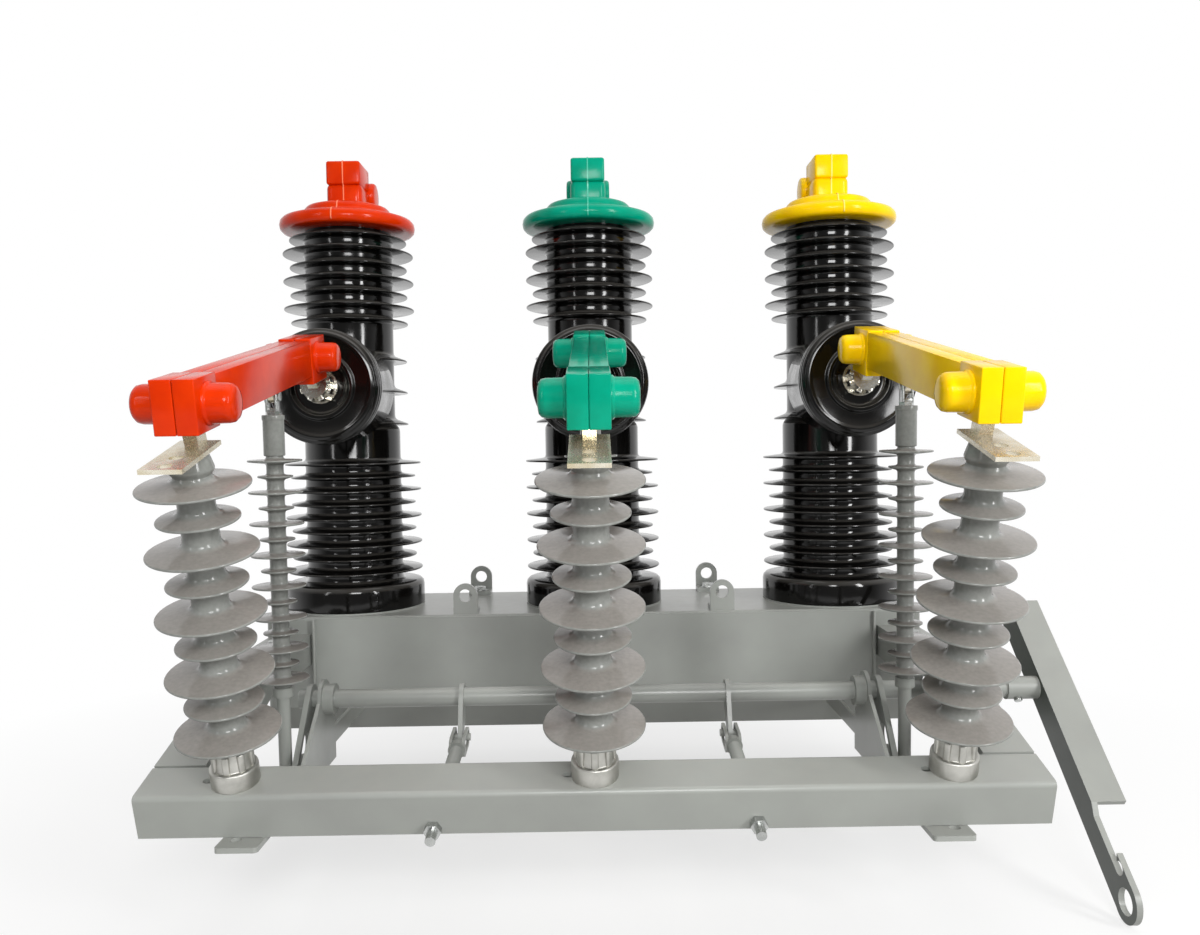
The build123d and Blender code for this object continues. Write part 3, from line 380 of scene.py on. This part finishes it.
# %% Dress the solids
finish_of = {
    "mechanism_box": enamel, "lifting_lug": enamel, "front_beam": enamel, "side_arm": enamel,
    "side_bracket": enamel, "drive_shaft": enamel, "operating_lever": lever_enamel,
    "rod_link": enamel, "spring_strut": enamel, "spring_anchor": zinc_steel, "rod_fork": zinc_steel,
    "pole_column": epoxy, "post_insulator": insulator_silicone, "rod_insulator": insulator_silicone,
    "insulator_base": cast_aluminium, "terminal_plate": tinned_copper, "knife_blade": tinned_copper,
    "fixed_contact": polished_contact,
}
for name, node in nodes.items():
    phase = name.rsplit("_", 1)[-1]
    family = [start for start in finish_of if name.startswith(start)]
    chosen = finish_of[family[0]] if family else phase_silicone[phase]
    node.data.materials.clear()
    node.data.materials.append(chosen)
print("dressed", len(nodes), "solids")

# %% [markdown]
# ## Modelling helpers
# Most of what is moulded or cast on this machine is round, and a round thing is quickest made as
# on a lathe: one vertex is extruded along half of the section, and the section is spun about the
# upright axis. The corners of the section are eased first, because moulded rubber and resin have
# no sharp corners, and those small rounds are what catches the light. Square pieces start from a
# cube, and every piece gets its place written into its mesh at the end. Most pieces come three
# times, so one helper copies the centre phase's piece to the outer phases.

# %% Lathe and block helpers
weld_distance = 0.01 * MM
smooth_below = radians(38)
round_above = radians(40)
facing_axis = 0.9  # a face looks along an axis when its normal has more than this of it


def eased(corners, steps=3):
    """Section points in mm from (radius, height) corners; a third number rounds that corner off."""
    points = []
    for i, corner in enumerate(corners):
        here = Vector(corner[:2])
        if len(corner) == 2:
            points.append(here)
            continue
        start = here + (Vector(corners[i - 1][:2]) - here).normalized() * corner[2]
        end = here + (Vector(corners[i + 1][:2]) - here).normalized() * corner[2]
        for step in range(steps + 1):
            t = step / steps
            points.append((1 - t) ** 2 * start + 2 * t * (1 - t) * here + t ** 2 * end)
    return points


def only(piece):
    """Select this piece alone and make it active."""
    bpy.ops.object.select_all(action="DESELECT")
    piece.select_set(True)
    bpy.context.view_layer.objects.active = piece


def traced(name, points_mm):
    """Draw a line through points by extruding one vertex, and stay in edit mode."""
    bpy.ops.object.select_all(action="DESELECT")
    bpy.ops.mesh.primitive_plane_add(size=MM, location=(0, 0, 0))
    piece = bpy.context.object
    piece.name = name
    bpy.ops.object.mode_set(mode="EDIT")
    bpy.ops.mesh.select_mode(type="VERT")
    bpy.ops.mesh.select_all(action="SELECT")
    bpy.ops.mesh.merge(type="CENTER")
    bpy.ops.transform.translate(value=[c * MM for c in points_mm[0]])
    for here, there in zip(points_mm, points_mm[1:]):
        bpy.ops.mesh.extrude_vertices_move(TRANSFORM_OT_translate={"value": (there - here) * MM})
    bpy.ops.mesh.select_all(action="SELECT")
    return piece


def closed_up(piece):
    """Weld the mesh, turn its faces outwards and leave edit mode."""
    bpy.ops.mesh.select_all(action="SELECT")
    bpy.ops.mesh.remove_doubles(threshold=weld_distance)
    bpy.ops.mesh.normals_make_consistent(inside=False)
    bpy.ops.object.mode_set(mode="OBJECT")
    return piece


def turned(name, corners, steps=96):
    """Trace a section and spin it about the upright axis."""
    piece = traced(name, [Vector((point.x, 0, point.y)) for point in eased(corners)])
    bpy.ops.mesh.spin(steps=steps, angle=2 * pi, center=(0, 0, 0), axis=(0, 0, 1))
    return closed_up(piece)


def pick_faces(piece, wanted):
    """Select the faces whose normal is wanted, and go on in edit mode."""
    bpy.ops.object.mode_set(mode="EDIT")
    bpy.ops.mesh.select_mode(type="FACE")
    bpy.ops.mesh.select_all(action="DESELECT")
    bpy.ops.object.mode_set(mode="OBJECT")
    for face in piece.data.polygons:
        face.select = wanted(face.normal)
    bpy.ops.object.mode_set(mode="EDIT")


def block(name, low_mm, high_mm):
    """A cube scaled to two corners, ready to be cut and bevelled."""
    bpy.ops.object.select_all(action="DESELECT")
    low, high = Vector(low_mm) * MM, Vector(high_mm) * MM
    bpy.ops.mesh.primitive_cube_add(size=1.0, location=(low + high) / 2, scale=high - low)
    piece = bpy.context.object
    piece.name = name
    bpy.ops.object.transform_apply(location=True, rotation=True, scale=True)
    return piece


def soften(piece, width_mm, segments=3):
    """Round the piece's sharp edges with an applied bevel."""
    only(piece)
    bevel = piece.modifiers.new("rounded_edges", "BEVEL")
    bevel.width = width_mm * MM
    bevel.segments = segments
    bevel.limit_method = "ANGLE"
    bevel.angle_limit = round_above
    bpy.ops.object.modifier_apply(modifier=bevel.name)


def moved(piece, matrix):
    """Write a turn and a place into the piece's mesh."""
    only(piece)
    piece.matrix_world = matrix
    bpy.ops.object.transform_apply(location=True, rotation=True, scale=True)
    return piece


def along(origin_mm, axis):
    """Matrix that stands a turned piece on a point, with its own axis along this direction."""
    turn = Vector((0, 0, 1)).rotation_difference(Vector(axis)).to_matrix().to_4x4()
    return Matrix.Translation(Vector(origin_mm) * MM) @ turn


def copied(piece, name, matrix):
    """A copy with its own mesh, moved by this matrix."""
    only(piece)
    bpy.ops.object.duplicate(linked=False)
    twin = bpy.context.object
    twin.name = name
    return moved(twin, matrix)


def joined(name, parts):
    """Join several parts into the first one."""
    bpy.ops.object.select_all(action="DESELECT")
    for part in parts:
        part.select_set(True)
    bpy.context.view_layer.objects.active = parts[0]
    bpy.ops.object.join()
    parts[0].name = name
    return parts[0]


def done(piece, finish, slot, body, *stands_for):
    """Smooth the piece, dress it, and let it ride on its body in place of its solid."""
    only(piece)
    bpy.ops.object.shade_smooth_by_angle(angle=smooth_below)
    piece.data.materials.clear()
    piece.data.materials.append(finish)
    if stands_for:
        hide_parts(*stands_for)
    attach(piece, body)


def shift_x(x_mm):
    """Matrix of a move across the phases."""
    return Matrix.Translation((x_mm * MM, 0, 0))


def in_phases(piece, stem):
    """The centre phase's piece and its copies on the outer phases, by phase."""
    piece.name = f"{stem}_centre"
    trio = {"centre": piece}
    for phase in ("left", "right"):
        trio[phase] = copied(piece, f"{stem}_{phase}", shift_x(phase_x[phase]))
    return trio


print("helpers ready")

# %% [markdown]
# ## Pole columns
# A pole is one casting: a foot flange, nine lower sheds, three fins, seven upper sheds and a
# bushing that looks forward, a drum with a grooved rim. Both the column and the bushing are lathe
# work. A shed has a rounded lip and a fillet at its root, as the mould has, so a helper writes the
# four corners of a shed with those rounds. The bushing is spun upright too, then laid along the
# line to the front.

# %% Pole columns
def shed(core, radius, height, rise, drop, lip, root):
    """Corners of one shed: root, lip, lip and root again."""
    tip = 0.48 * lip
    return [(core, height - drop, root), (radius, height - lip, tip),
            (radius, height, tip), (core, height + rise, root)]


def sheds(core, first, pitch, count, even, odd, rise, drop, lip, root):
    """Corners of a stack of sheds that alternates two radii."""
    corners = []
    for i in range(count):
        corners += shed(core, odd if i % 2 else even, first + i * pitch, rise, drop, lip, root)
    return corners


pole_y = 390.0
pole_foot = 144
pole_top = 668
bushing_z = 445.0
lower_core, upper_core, fin_radius = 66, 59.5, 78
pole_shed = {"rise": 3.5, "drop": 2.2, "lip": 2.6, "root": 4.0}
fins = []
for fin_z in (400.5, bushing_z, 489.5):
    fins += shed(upper_core, fin_radius, fin_z, rise=7, drop=0, lip=2.4, root=5)
column = turned("pole_column_body", [
    (0, pole_foot), (95.2, pole_foot), (96, 145, 0.6), (96, 179, 9), (lower_core, 179, 5),
    *sheds(lower_core, first=196, pitch=18.7, count=9, even=94, odd=86, **pole_shed),
    (lower_core, 393, 4), *fins,
    *sheds(upper_core, first=543, pitch=19.1, count=7, even=80.5, odd=89.5, **pole_shed),
    (upper_core, pole_top), (0, pole_top)])
moved(column, along((0, pole_y, 0), (0, 0, 1)))
bushing = turned("pole_bushing", [
    (0, 45), (69, 45, 2), (69, 143, 1.5), (74, 144.5, 1), (74, 150, 0.8), (71.5, 151, 0.6),
    (71.5, 153, 0.6), (74, 154, 0.8), (74, 158, 0.8), (71.5, 159, 0.6), (71.5, 161, 0.6),
    (73.5, 162, 0.8), (73, 165.5, 1.2), (69, 167, 0.8), (68, 169, 0.8), (64, 170, 1),
    (60, 168.5, 1), (43.5, 165, 1.2),
    (42, 169, 1.5), (36.5, 169, 1.5), (34, 162, 1.5), (30, 161, 2), (0, 161)])
moved(bushing, along((0, pole_y, bushing_z), (0, -1, 0)))
pole = joined("cast_pole_centre", [column, bushing])
poles = in_phases(pole, "cast_pole")
for phase, piece in poles.items():
    done(piece, epoxy, "black_epoxy", "frame", f"pole_column_{phase}")
print("poles:", len(poles), "with", len(pole.data.polygons), "faces each")

# %% [markdown]
# ## Silicone caps
# Each pole wears a moulded hood: a fat rolled rim, a stepped dome, and an elbow that points to the
# rear, with a bolt cover on each side. The elbow is three cubes with generous rounds: a stem, a
# block that overhangs it, and the outlet behind. A thin ridge runs over the whole cap where the two
# halves of the mould met. It is paler than the cap, partly because the flash was trimmed there and
# the cut rubber is paler, and partly as a painted highlight for the light the ridge catches. The
# ridge's outline is traced point by point, filled, and given a little width.

# %% Caps
dome = turned("cap_dome", [
    (0, 0), (93, 0, 9), (93, 18, 9), (60, 22.5, 6), (59, 35, 7), (28, 39.5, 6), (0, 40)])
stem = block("cap_stem", (-24.5, -21, 34), (24.5, 36, 68))
soften(stem, 8.0, 4)
hood = block("cap_hood", (-23.5, -24, 65), (23.5, 36, 97.6))
soften(hood, 3.5, 3)
outlet = block("cap_outlet", (-18, 20, 42), (18, 66, 84))
soften(outlet, 8.0, 4)
cap_bolts = turned("cap_bolt_covers", [(0, -31), (20, -31, 5), (20, 31, 5), (0, 31)], 64)
moved(cap_bolts, along((0, 48, 63), (1, 0, 0)))


def mould_line(name, corners, half_width_mm):
    """A thin upright plate in the mould's parting plane, from its outline of (y, z) corners."""
    outline = [Vector((-half_width_mm, point.x, point.y)) for point in eased(corners)]
    piece = traced(name, outline)
    bpy.ops.mesh.edge_face_add()
    bpy.ops.mesh.extrude_region_move(
        TRANSFORM_OT_translate={"value": (2 * half_width_mm * MM, 0, 0)})
    return closed_up(piece)


cap_seam = mould_line("cap_mould_line", [
    (-30, 2), (-93.6, 2, 5), (-93.6, 18.6, 9), (-60.6, 23.1, 6), (-59.6, 35.6, 7),
    (-21.6, 39.8, 2), (-21.6, 65, 0.5), (-24.6, 65, 3), (-24.6, 98, 3), (36.6, 98, 3),
    (36.6, 84.6, 1), (66.6, 84.6, 7), (66.6, 41.4, 7), (59.6, 36, 2), (60.6, 23.1, 6),
    (93.6, 18.6, 9), (93.6, 2, 5), (30, 2)], half_width_mm=0.8)
cap = joined("silicone_cap_centre", [dome, stem, hood, outlet, cap_bolts])
for piece in (cap, cap_seam):
    moved(piece, along((0, pole_y, pole_top), (0, 0, 1)))
caps, cap_seams = {"centre": cap}, {"centre": cap_seam}
for phase in ("left", "right"):
    caps[phase] = copied(cap, f"silicone_cap_{phase}", shift_x(phase_x[phase]))
    cap_seams[phase] = copied(cap_seam, f"cap_mould_line_{phase}", shift_x(phase_x[phase]))
cap_seam.name = "cap_mould_line_centre"
slot_colour = {"left": "red_silicone", "centre": "green_silicone", "right": "yellow_silicone"}
for phase in phase_x:
    done(caps[phase], phase_silicone[phase], slot_colour[phase], "frame", f"pole_cap_{phase}")
    done(cap_seams[phase], trimmed_highlit_silicone[phase], slot_colour[phase], "frame")
print("caps:", len(caps), "with", len(cap.data.polygons), "faces each")

# %% [markdown]
# ## Blade covers
# A cover is two moulded half shells that meet along the middle, so it has a dark seam along its
# top and down its nose. Each half is three open boxes: a long slim channel, a deeper front block
# and a deeper rear block, both a little proud of the channel. An open box is a cube whose lower,
# inner and rear faces are deleted before the wall gets its thickness inward. The half is mirrored
# and its normals are set right. A thin tongue closes the seam from inside, and the round bolt
# covers go on from both sides.

# %% One blade cover
blade_length = 346.62
seam_gap = 0.25


def half_shell(name, low_mm, high_mm, wall_mm):
    """Right half of a box without floor, inner side and rear, with a wall."""
    piece = block(name, low_mm, high_mm)
    pick_faces(piece, lambda normal: min(normal.z, normal.x, -normal.y) < -facing_axis)
    bpy.ops.mesh.delete(type="FACE")
    bpy.ops.object.mode_set(mode="OBJECT")
    wall = piece.modifiers.new("wall", "SOLIDIFY")
    wall.thickness = wall_mm * MM
    wall.offset = -1.0
    wall.use_even_offset = True
    bpy.ops.object.modifier_apply(modifier=wall.name)
    return piece


channel = half_shell("cover_channel", (seam_gap, -4, -20), (17.7, blade_length, 22.2), 1.6)
soften(channel, 0.7, 2)
front_block = half_shell("cover_front_block", (seam_gap, -28, -23), (18.5, 22, 24), 2.5)
soften(front_block, 1.0, 3)
rear_block = half_shell("cover_rear_block", (seam_gap, 320, -29), (18.5, 380, 24), 2.5)
soften(rear_block, 1.0, 3)
right_half = joined("cover_half", [channel, front_block, rear_block])
left_half = copied(right_half, "cover_other_half", Matrix.Diagonal((-1, 1, 1, 1)))
bpy.ops.object.mode_set(mode="EDIT")
bpy.ops.mesh.select_all(action="SELECT")
bpy.ops.mesh.normals_make_consistent(inside=False)
bpy.ops.object.mode_set(mode="OBJECT")
bolt_cover = turned("cover_bolt", [
    (0, 16.2), (19.2, 16.2), (19.2, 20.5, 1.2), (17.5, 21.5, 0.8),
    (17.0, 43.4, 7.5), (0, 43.4)], 64)
bolt_covers = [bolt_cover]
for place, side in ((0, -1), (blade_length, 1), (blade_length, -1)):
    bolt_covers.append(copied(bolt_cover, "cover_bolt_copy", along((0, place, 0), (side, 0, 0))))
moved(bolt_cover, along((0, 0, 0), (1, 0, 0)))
top_tongue = block("cover_top_tongue", (-3, -24, 19.4), (3, 378, 20.4))
soften(top_tongue, 0.3, 1)
nose_tongue = block("cover_nose_tongue", (-3, -25.3, -22.5), (3, -24.4, 20))
soften(nose_tongue, 0.3, 1)
cover = joined("blade_cover_shell_centre", [
    right_half, left_half, top_tongue, nose_tongue, *bolt_covers])
print("cover faces:", len(cover.data.polygons))

# %% Covers on the three blades
pivot_mm = (0.0, -190.0, 407.57)
blade_slope = radians(11.22)
moved(cover, Matrix.Translation(Vector(pivot_mm) * MM) @ Matrix.Rotation(blade_slope, 4, "X"))
covers = in_phases(cover, "blade_cover_shell")
for phase, piece in covers.items():
    done(piece, phase_silicone[phase], slot_colour[phase], f"blade_{phase}", f"blade_cover_{phase}")
print("covers:", sorted(covers))

# %% [markdown]
# ## Post insulators and their feet
# The posts lean forward with the beam. A post is a lathe section again, with thin sheds and a
# small collar under the terminal. Its foot is a cast aluminium cup: a turned ring and taper, with
# eight shallow ribs that are one bevelled block copied round the axis.

# %% Post insulators
frame_tilt = radians(15.5)
post_axis = (0, -sin(frame_tilt), cos(frame_tilt))
deck_mm = (0.0, -102.6, 55.0)
cup_height, post_core = 38, 16
post = turned("post_body", [
    (0, cup_height), (post_core, cup_height), *sheds(
        post_core, first=56, pitch=29.8, count=9, even=48, odd=35.5,
        rise=4.0, drop=2.6, lip=2.4, root=6.5),
    (post_core, 303, 2), (19.5, 308, 2), (15.5, 322, 1.5), (0, 322)])
moved(post, along(deck_mm, post_axis))
posts = in_phases(post, "shedded_post")
for phase, piece in posts.items():
    done(piece, insulator_silicone, "grey_silicone", "frame", f"post_insulator_{phase}")
print("posts:", len(posts), "with", len(post.data.polygons), "faces each")

# %% Cast feet
cup = turned("foot_cup", [
    (0, 0), (22.5, 0), (22.5, 18, 2.5), (18.4, 18.5, 1.2), (16.6, cup_height, 1),
    (0, cup_height)], 64)
rib = block("foot_rib", (15, -3.4, 16), (20, 3.4, 36.5))
soften(rib, 1.6, 3)
rib_count = 8
ribs = [copied(rib, "foot_rib_copy", Matrix.Rotation(2 * pi * i / rib_count, 4, "Z"))
        for i in range(1, rib_count)]
foot = joined("cast_foot_centre", [cup, rib, *ribs])
moved(foot, along(deck_mm, post_axis))
feet = in_phases(foot, "cast_foot")
for phase, piece in feet.items():
    done(piece, cast_aluminium, "cast_aluminium", "frame", f"insulator_base_{phase}")
print("feet:", len(feet), "with", rib_count, "ribs each")

# %% [markdown]
# ## Pull rods
# A pull rod hangs from the blade in a small zinc-plated clevis. Under it is a plain grey sleeve,
# and then fifteen thin sheds. The clevis is two rounded cheeks, a pin with a head, and a hexagon
# nut, which is a lathe section spun in six steps. All heights are measured down the rod from the
# pin, and the axis turns them over.

# %% Rod insulators and sleeves
rod_top_mm = (0.0, 36.0, 423.99)
rod_axis = (0, 0.02911, -0.99958)
rod_core, sleeve_end, rod_end = 9, 64, 316.5
rod = turned("rod_body", [
    (0, sleeve_end), (rod_core, sleeve_end), *sheds(
        rod_core, first=70, pitch=17, count=15, even=28.5, odd=18.5,
        rise=2.6, drop=3.0, lip=2.0, root=2.5),
    (rod_core, rod_end), (0, rod_end)], 64)
moved(rod, along(rod_top_mm, rod_axis))
sleeve = turned("rod_sleeve", [
    (0, 20), (11.9, 20, 1), (11.9, 25, 0.8), (11.2, 25.8, 0.4), (11.2, sleeve_end, 1.5),
    (0, sleeve_end)], 48)
moved(sleeve, along(rod_top_mm, rod_axis))
for phase, x_mm in phase_x.items():
    piece = copied(rod, f"shedded_rod_{phase}", shift_x(x_mm))
    done(piece, insulator_silicone, "grey_silicone", f"pull_rod_{phase}", f"rod_insulator_{phase}")
    piece = copied(sleeve, f"rod_sleeve_{phase}", shift_x(x_mm))
    done(piece, insulator_silicone, "grey_silicone", f"pull_rod_{phase}")
for pattern in (rod, sleeve):
    bpy.data.objects.remove(pattern)
print("rods and sleeves: 3 each")

# %% Clevises
cheek = block("clevis_cheek", (3.6, -6.5, -7), (6.4, 6.5, 17))
soften(cheek, 2.6, 4)
other_cheek = copied(cheek, "clevis_other_cheek", shift_x(-10.0))
bridge = block("clevis_bridge", (-6.2, -6.2, 12.5), (6.2, 6.2, 16.5))
soften(bridge, 1.0, 2)
nut = turned("clevis_nut", [(0, 15.5), (8, 15.5, 0.8), (8, 20.5), (0, 20.5)], 6)
pin = turned("clevis_pin", [
    (0, -8), (3.9, -8, 0.8), (3.9, 6.4), (5.6, 6.4, 0.5), (5.6, 8.6, 0.8), (0, 8.6)], 32)
moved(pin, along((0, 0, 0), (1, 0, 0)))
clevis = joined("rod_clevis_centre", [cheek, other_cheek, bridge, nut, pin])
moved(clevis, along(rod_top_mm, rod_axis))
clevises = in_phases(clevis, "rod_clevis")
for phase, piece in clevises.items():
    done(piece, zinc_steel, "galvanised_steel", f"pull_rod_{phase}", f"rod_fork_{phase}")
print("clevises:", sorted(clevises))

# %% [markdown]
# ## Contact fingers
# The blades close on silvered fingers that stand round the stem in the bushing's well, with dark
# gaps between them. One finger is a tapered block, and eight copies go round the bushing's axis.

# %% Contact fingers
finger = block("contact_finger", (-4.6, 14.5, 0), (4.6, 20.5, 22))
pick_faces(finger, lambda normal: normal.z > facing_axis)
bpy.ops.transform.resize(value=(0.7, 0.8, 1.0))
bpy.ops.object.mode_set(mode="OBJECT")
soften(finger, 0.9, 2)
finger_count = 8
fingers = []
for i in range(finger_count):
    turn = Matrix.Rotation(2 * pi * (i + 0.5) / finger_count, 4, "Z")
    fingers.append(copied(finger, "contact_finger_copy", turn))
bpy.data.objects.remove(finger)
finger_ring = joined("contact_fingers_centre", fingers)
well_y = 223
moved(finger_ring, along((0, well_y, bushing_z), (0, -1, 0)))
finger_rings = in_phases(finger_ring, "contact_fingers")
for piece in finger_rings.values():
    done(piece, polished_contact, "tinned_copper", "frame")
print("contact fingers:", 3 * finger_count)

# %% [markdown]
# ## Panel hems
# The front panel of the box is sheet with its two upright edges folded forward, and the folds show
# as bright lines. Each is a slim block whose front edges are rounded.

# %% Panel hems
hem_inside, hem_outside = 371.0, 374.5
hem_front, hem_back = 279.5, 287
hem_foot, hem_top = 24, 139
for side, word in ((-1, "left"), (1, "right")):
    low_x, high_x = sorted((side * hem_inside, side * hem_outside))
    hem = block(f"panel_hem_{word}", (low_x, hem_front, hem_foot), (high_x, hem_back, hem_top))
    soften(hem, 1.4, 3)
    done(hem, enamel, "painted_steel", "frame")
print("panel hems: 2")

# %% [markdown]
# ## Fasteners
# Bolts are small, but they tell the eye how big the machine is. One bolt is modelled: a hexagon
# whose upper corners are turned off, on a washer. Copies hold the lifting lugs and the side arms,
# and low round-headed screws run along the rim of the rear face. A short round pin locks the
# lever's sleeve to the shaft.

# %% Bolts, screws and the shaft's pin
bolt_head = turned("bolt_head", [(0, 1.4), (8.2, 1.4), (8.2, 5.9), (7.0, 6.9), (0, 6.9)], 6)
washer = turned("bolt_washer", [(0, 0), (10, 0), (10, 1.5, 0.5), (0, 1.6)], 40)
bolt = joined("hexagon_bolt", [bolt_head, washer])
lug_bolt_x, arm_bolt_x = 172, 403
lug_foot_z, arm_top_z = 148, 119.5
bolt_places = []
for side in (-1, 1):
    bolt_places += [(side * lug_bolt_x, y_mm, lug_foot_z) for y_mm in (312, 468)]
    bolt_places += [(side * arm_bolt_x, y_mm, arm_top_z) for y_mm in (168, 214)]
for i, spot in enumerate(bolt_places):
    piece = copied(bolt, f"hexagon_bolt_{i + 1:02d}", along(spot, (0, 0, 1)))
    done(piece, zinc_steel, "galvanised_steel", "frame")
screw = turned("rim_screw", [(0, 0), (5, 0), (5, 1.4, 0.8), (2.5, 2.8, 0.8), (0, 2.8)], 32)
screws_in_row, screw_pitch, first_screw_x, rear_y = 7, 130, -390, 492
screw_rows_z = (-6.5, 134.0)
for i in range(screws_in_row):
    for row, z_mm in enumerate(screw_rows_z):
        spot = (first_screw_x + screw_pitch * i, rear_y, z_mm)
        number = row * screws_in_row + i + 1
        piece = copied(screw, f"rim_screw_{number:02d}", along(spot, (0, 1, 0)))
        done(piece, zinc_steel, "galvanised_steel", "frame")
sleeve_pin = turned("sleeve_pin", [
    (0, -16), (3, -16, 1), (3, 13.5), (4.6, 13.5, 0.4), (4.6, 16.5, 1.2), (0, 16.5)], 32)
sleeve_middle = (484, 100, 80)
moved(sleeve_pin, along(sleeve_middle, (0, -0.6, -0.8)))
done(sleeve_pin, zinc_steel, "galvanised_steel", "shaft")
for pattern in (bolt, screw):
    bpy.data.objects.remove(pattern)
print("bolts:", len(bolt_places), "rim screws:", screws_in_row * len(screw_rows_z))

# %% [markdown]
# ## Floor, backdrop and light
# The machine is shown against plain white. A wide pale floor lies under its lowest point, and far
# from the machine it fades to the same white as the world, so that no horizon shows. The light is
# two tall soft boxes at the front, which draw the upright streaks on the poles, a square box over
# the camera, which draws the arcs where the sheds meet the posts, and one large box overhead. The
# pale world is dimmer on the left and behind the camera, so that black stays black.

# %% Floor
def looked_at_by(tree):
    """The light path node, and 1 where a camera, mirror or glass ray looks, 0 for other light."""
    ray = add_node(tree, "ShaderNodeLightPath", {})
    direct = add_node(tree, "ShaderNodeMath", {
        0: ray.outputs["Is Camera Ray"], 1: ray.outputs["Is Glossy Ray"]}, operation="ADD")
    looked_at = add_node(tree, "ShaderNodeMath", {
        0: direct.outputs[0], 1: ray.outputs["Is Transmission Ray"]},
        operation="ADD", use_clamp=True)
    return ray, looked_at.outputs[0]


lowest_z = cad_box[0][2]
floor_gap = 0.002
white_light = (1, 1, 1, 1)
bpy.ops.object.select_all(action="DESELECT")
bpy.ops.mesh.primitive_plane_add(size=3.2, location=(0, 0.1, lowest_z - floor_gap))
floor = bpy.context.object
floor.name = "pale_floor"
floor_paint, floor_tree, floor_shader, floor_place = start_finish("pale_floor_paint")
floor_shader.inputs["Roughness"].default_value = 0.9
distance = add_node(floor_tree, "ShaderNodeVectorMath", {0: floor_place}, operation="LENGTH")
fade = add_node(floor_tree, "ShaderNodeMapRange", {
    "Value": distance.outputs["Value"], "From Min": 0.3, "From Max": 1.2,
    "To Min": 0.6, "To Max": 1.0})
_, looked_at = looked_at_by(floor_tree)
pale = add_node(floor_tree, "ShaderNodeMix", {
    0: looked_at, 6: linear("#8C8A85"), 7: linear("#F7F7F6")}, data_type="RGBA")
floor_tree.links.new(pale.outputs[2], floor_shader.inputs["Base Color"])
seen = add_node(floor_tree, "ShaderNodeMath", {
    0: fade.outputs["Result"], 1: looked_at}, operation="MULTIPLY")
white = add_node(floor_tree, "ShaderNodeEmission", {"Color": white_light, "Strength": 1.0})
mixed = add_node(floor_tree, "ShaderNodeMixShader", {
    0: seen.outputs[0], 1: floor_shader.outputs["BSDF"], 2: white.outputs["Emission"]})
floor_end = floor_tree.nodes["Material Output"]
floor_tree.links.new(mixed.outputs["Shader"], floor_end.inputs["Surface"])
floor.data.materials.append(floor_paint)
print("floor at z", round(lowest_z, 4))

# %% World and lamps
world = bpy.data.worlds.new("white_studio")
bpy.context.scene.world = world
world.use_nodes = True
sky = world.node_tree
sky.nodes.clear()
toward = add_node(sky, "ShaderNodeSeparateXYZ", {
    "Vector": add_node(sky, "ShaderNodeTexCoord", {}).outputs["Generated"]})
depth = add_node(sky, "ShaderNodeMapRange", {
    "Value": toward.outputs["Y"], "From Min": -0.8, "From Max": 0.3,
    "To Min": 0.55, "To Max": 0.85})
side = add_node(sky, "ShaderNodeMapRange", {
    "Value": toward.outputs["X"], "From Min": -0.9, "From Max": 0.5, "To Min": 0.25, "To Max": 1.0})
dimmed = add_node(sky, "ShaderNodeMath", {
    0: depth.outputs["Result"], 1: side.outputs["Result"]}, operation="MULTIPLY")
studio = add_node(sky, "ShaderNodeBackground", {
    "Color": white_light, "Strength": dimmed.outputs[0]})
sky_ray, sky_looked_at = looked_at_by(sky)
room = add_node(sky, "ShaderNodeMapRange", {
    "Value": toward.outputs["Y"], "From Min": -0.5, "From Max": 0.1, "To Min": 0.78, "To Max": 0.0})
room_dim = add_node(sky, "ShaderNodeMath", {
    0: room.outputs["Result"], 1: sky_ray.outputs["Is Glossy Ray"]}, operation="MULTIPLY")
backdrop = add_node(sky, "ShaderNodeMath", {0: 1.0, 1: room_dim.outputs[0]}, operation="SUBTRACT")
plain = add_node(sky, "ShaderNodeBackground", {
    "Color": white_light, "Strength": backdrop.outputs[0]})
sky_mix = add_node(sky, "ShaderNodeMixShader", {
    0: sky_looked_at, 1: studio.outputs["Background"], 2: plain.outputs["Background"]})
add_node(sky, "ShaderNodeOutputWorld", {"Surface": sky_mix.outputs["Shader"]})


def soft_box(name, place_m, aim_m, width_m, height_m, watts):
    """A rectangular lamp that faces a point."""
    bpy.ops.object.select_all(action="DESELECT")
    bpy.ops.object.light_add(type="AREA", location=place_m)
    lamp = bpy.context.object
    lamp.name = name
    lamp.data.shape = "RECTANGLE"
    lamp.data.size = width_m
    lamp.data.size_y = height_m
    lamp.data.energy = watts
    lamp.rotation_euler = (Vector(aim_m) - Vector(place_m)).to_track_quat("-Z", "Y").to_euler()


machine_m = (0.0, 0.2, 0.35)
soft_box("front_left_box", (-2.0, -1.9, 1.1), machine_m, width_m=0.20, height_m=1.6, watts=8.0)
soft_box("front_right_box", (2.0, -1.9, 1.1), machine_m, width_m=0.40, height_m=1.6, watts=46.0)
soft_box("front_box", (0.15, -1.9, 0.95), (0.0, 0.1, 0.35), width_m=0.7, height_m=0.55, watts=22.0)
soft_box("top_box", (0.0, 0.0, 2.6), (0.0, 0.1, 0.3), width_m=2.2, height_m=1.6, watts=11.0)
bpy.context.scene.view_settings.view_transform = "Standard"
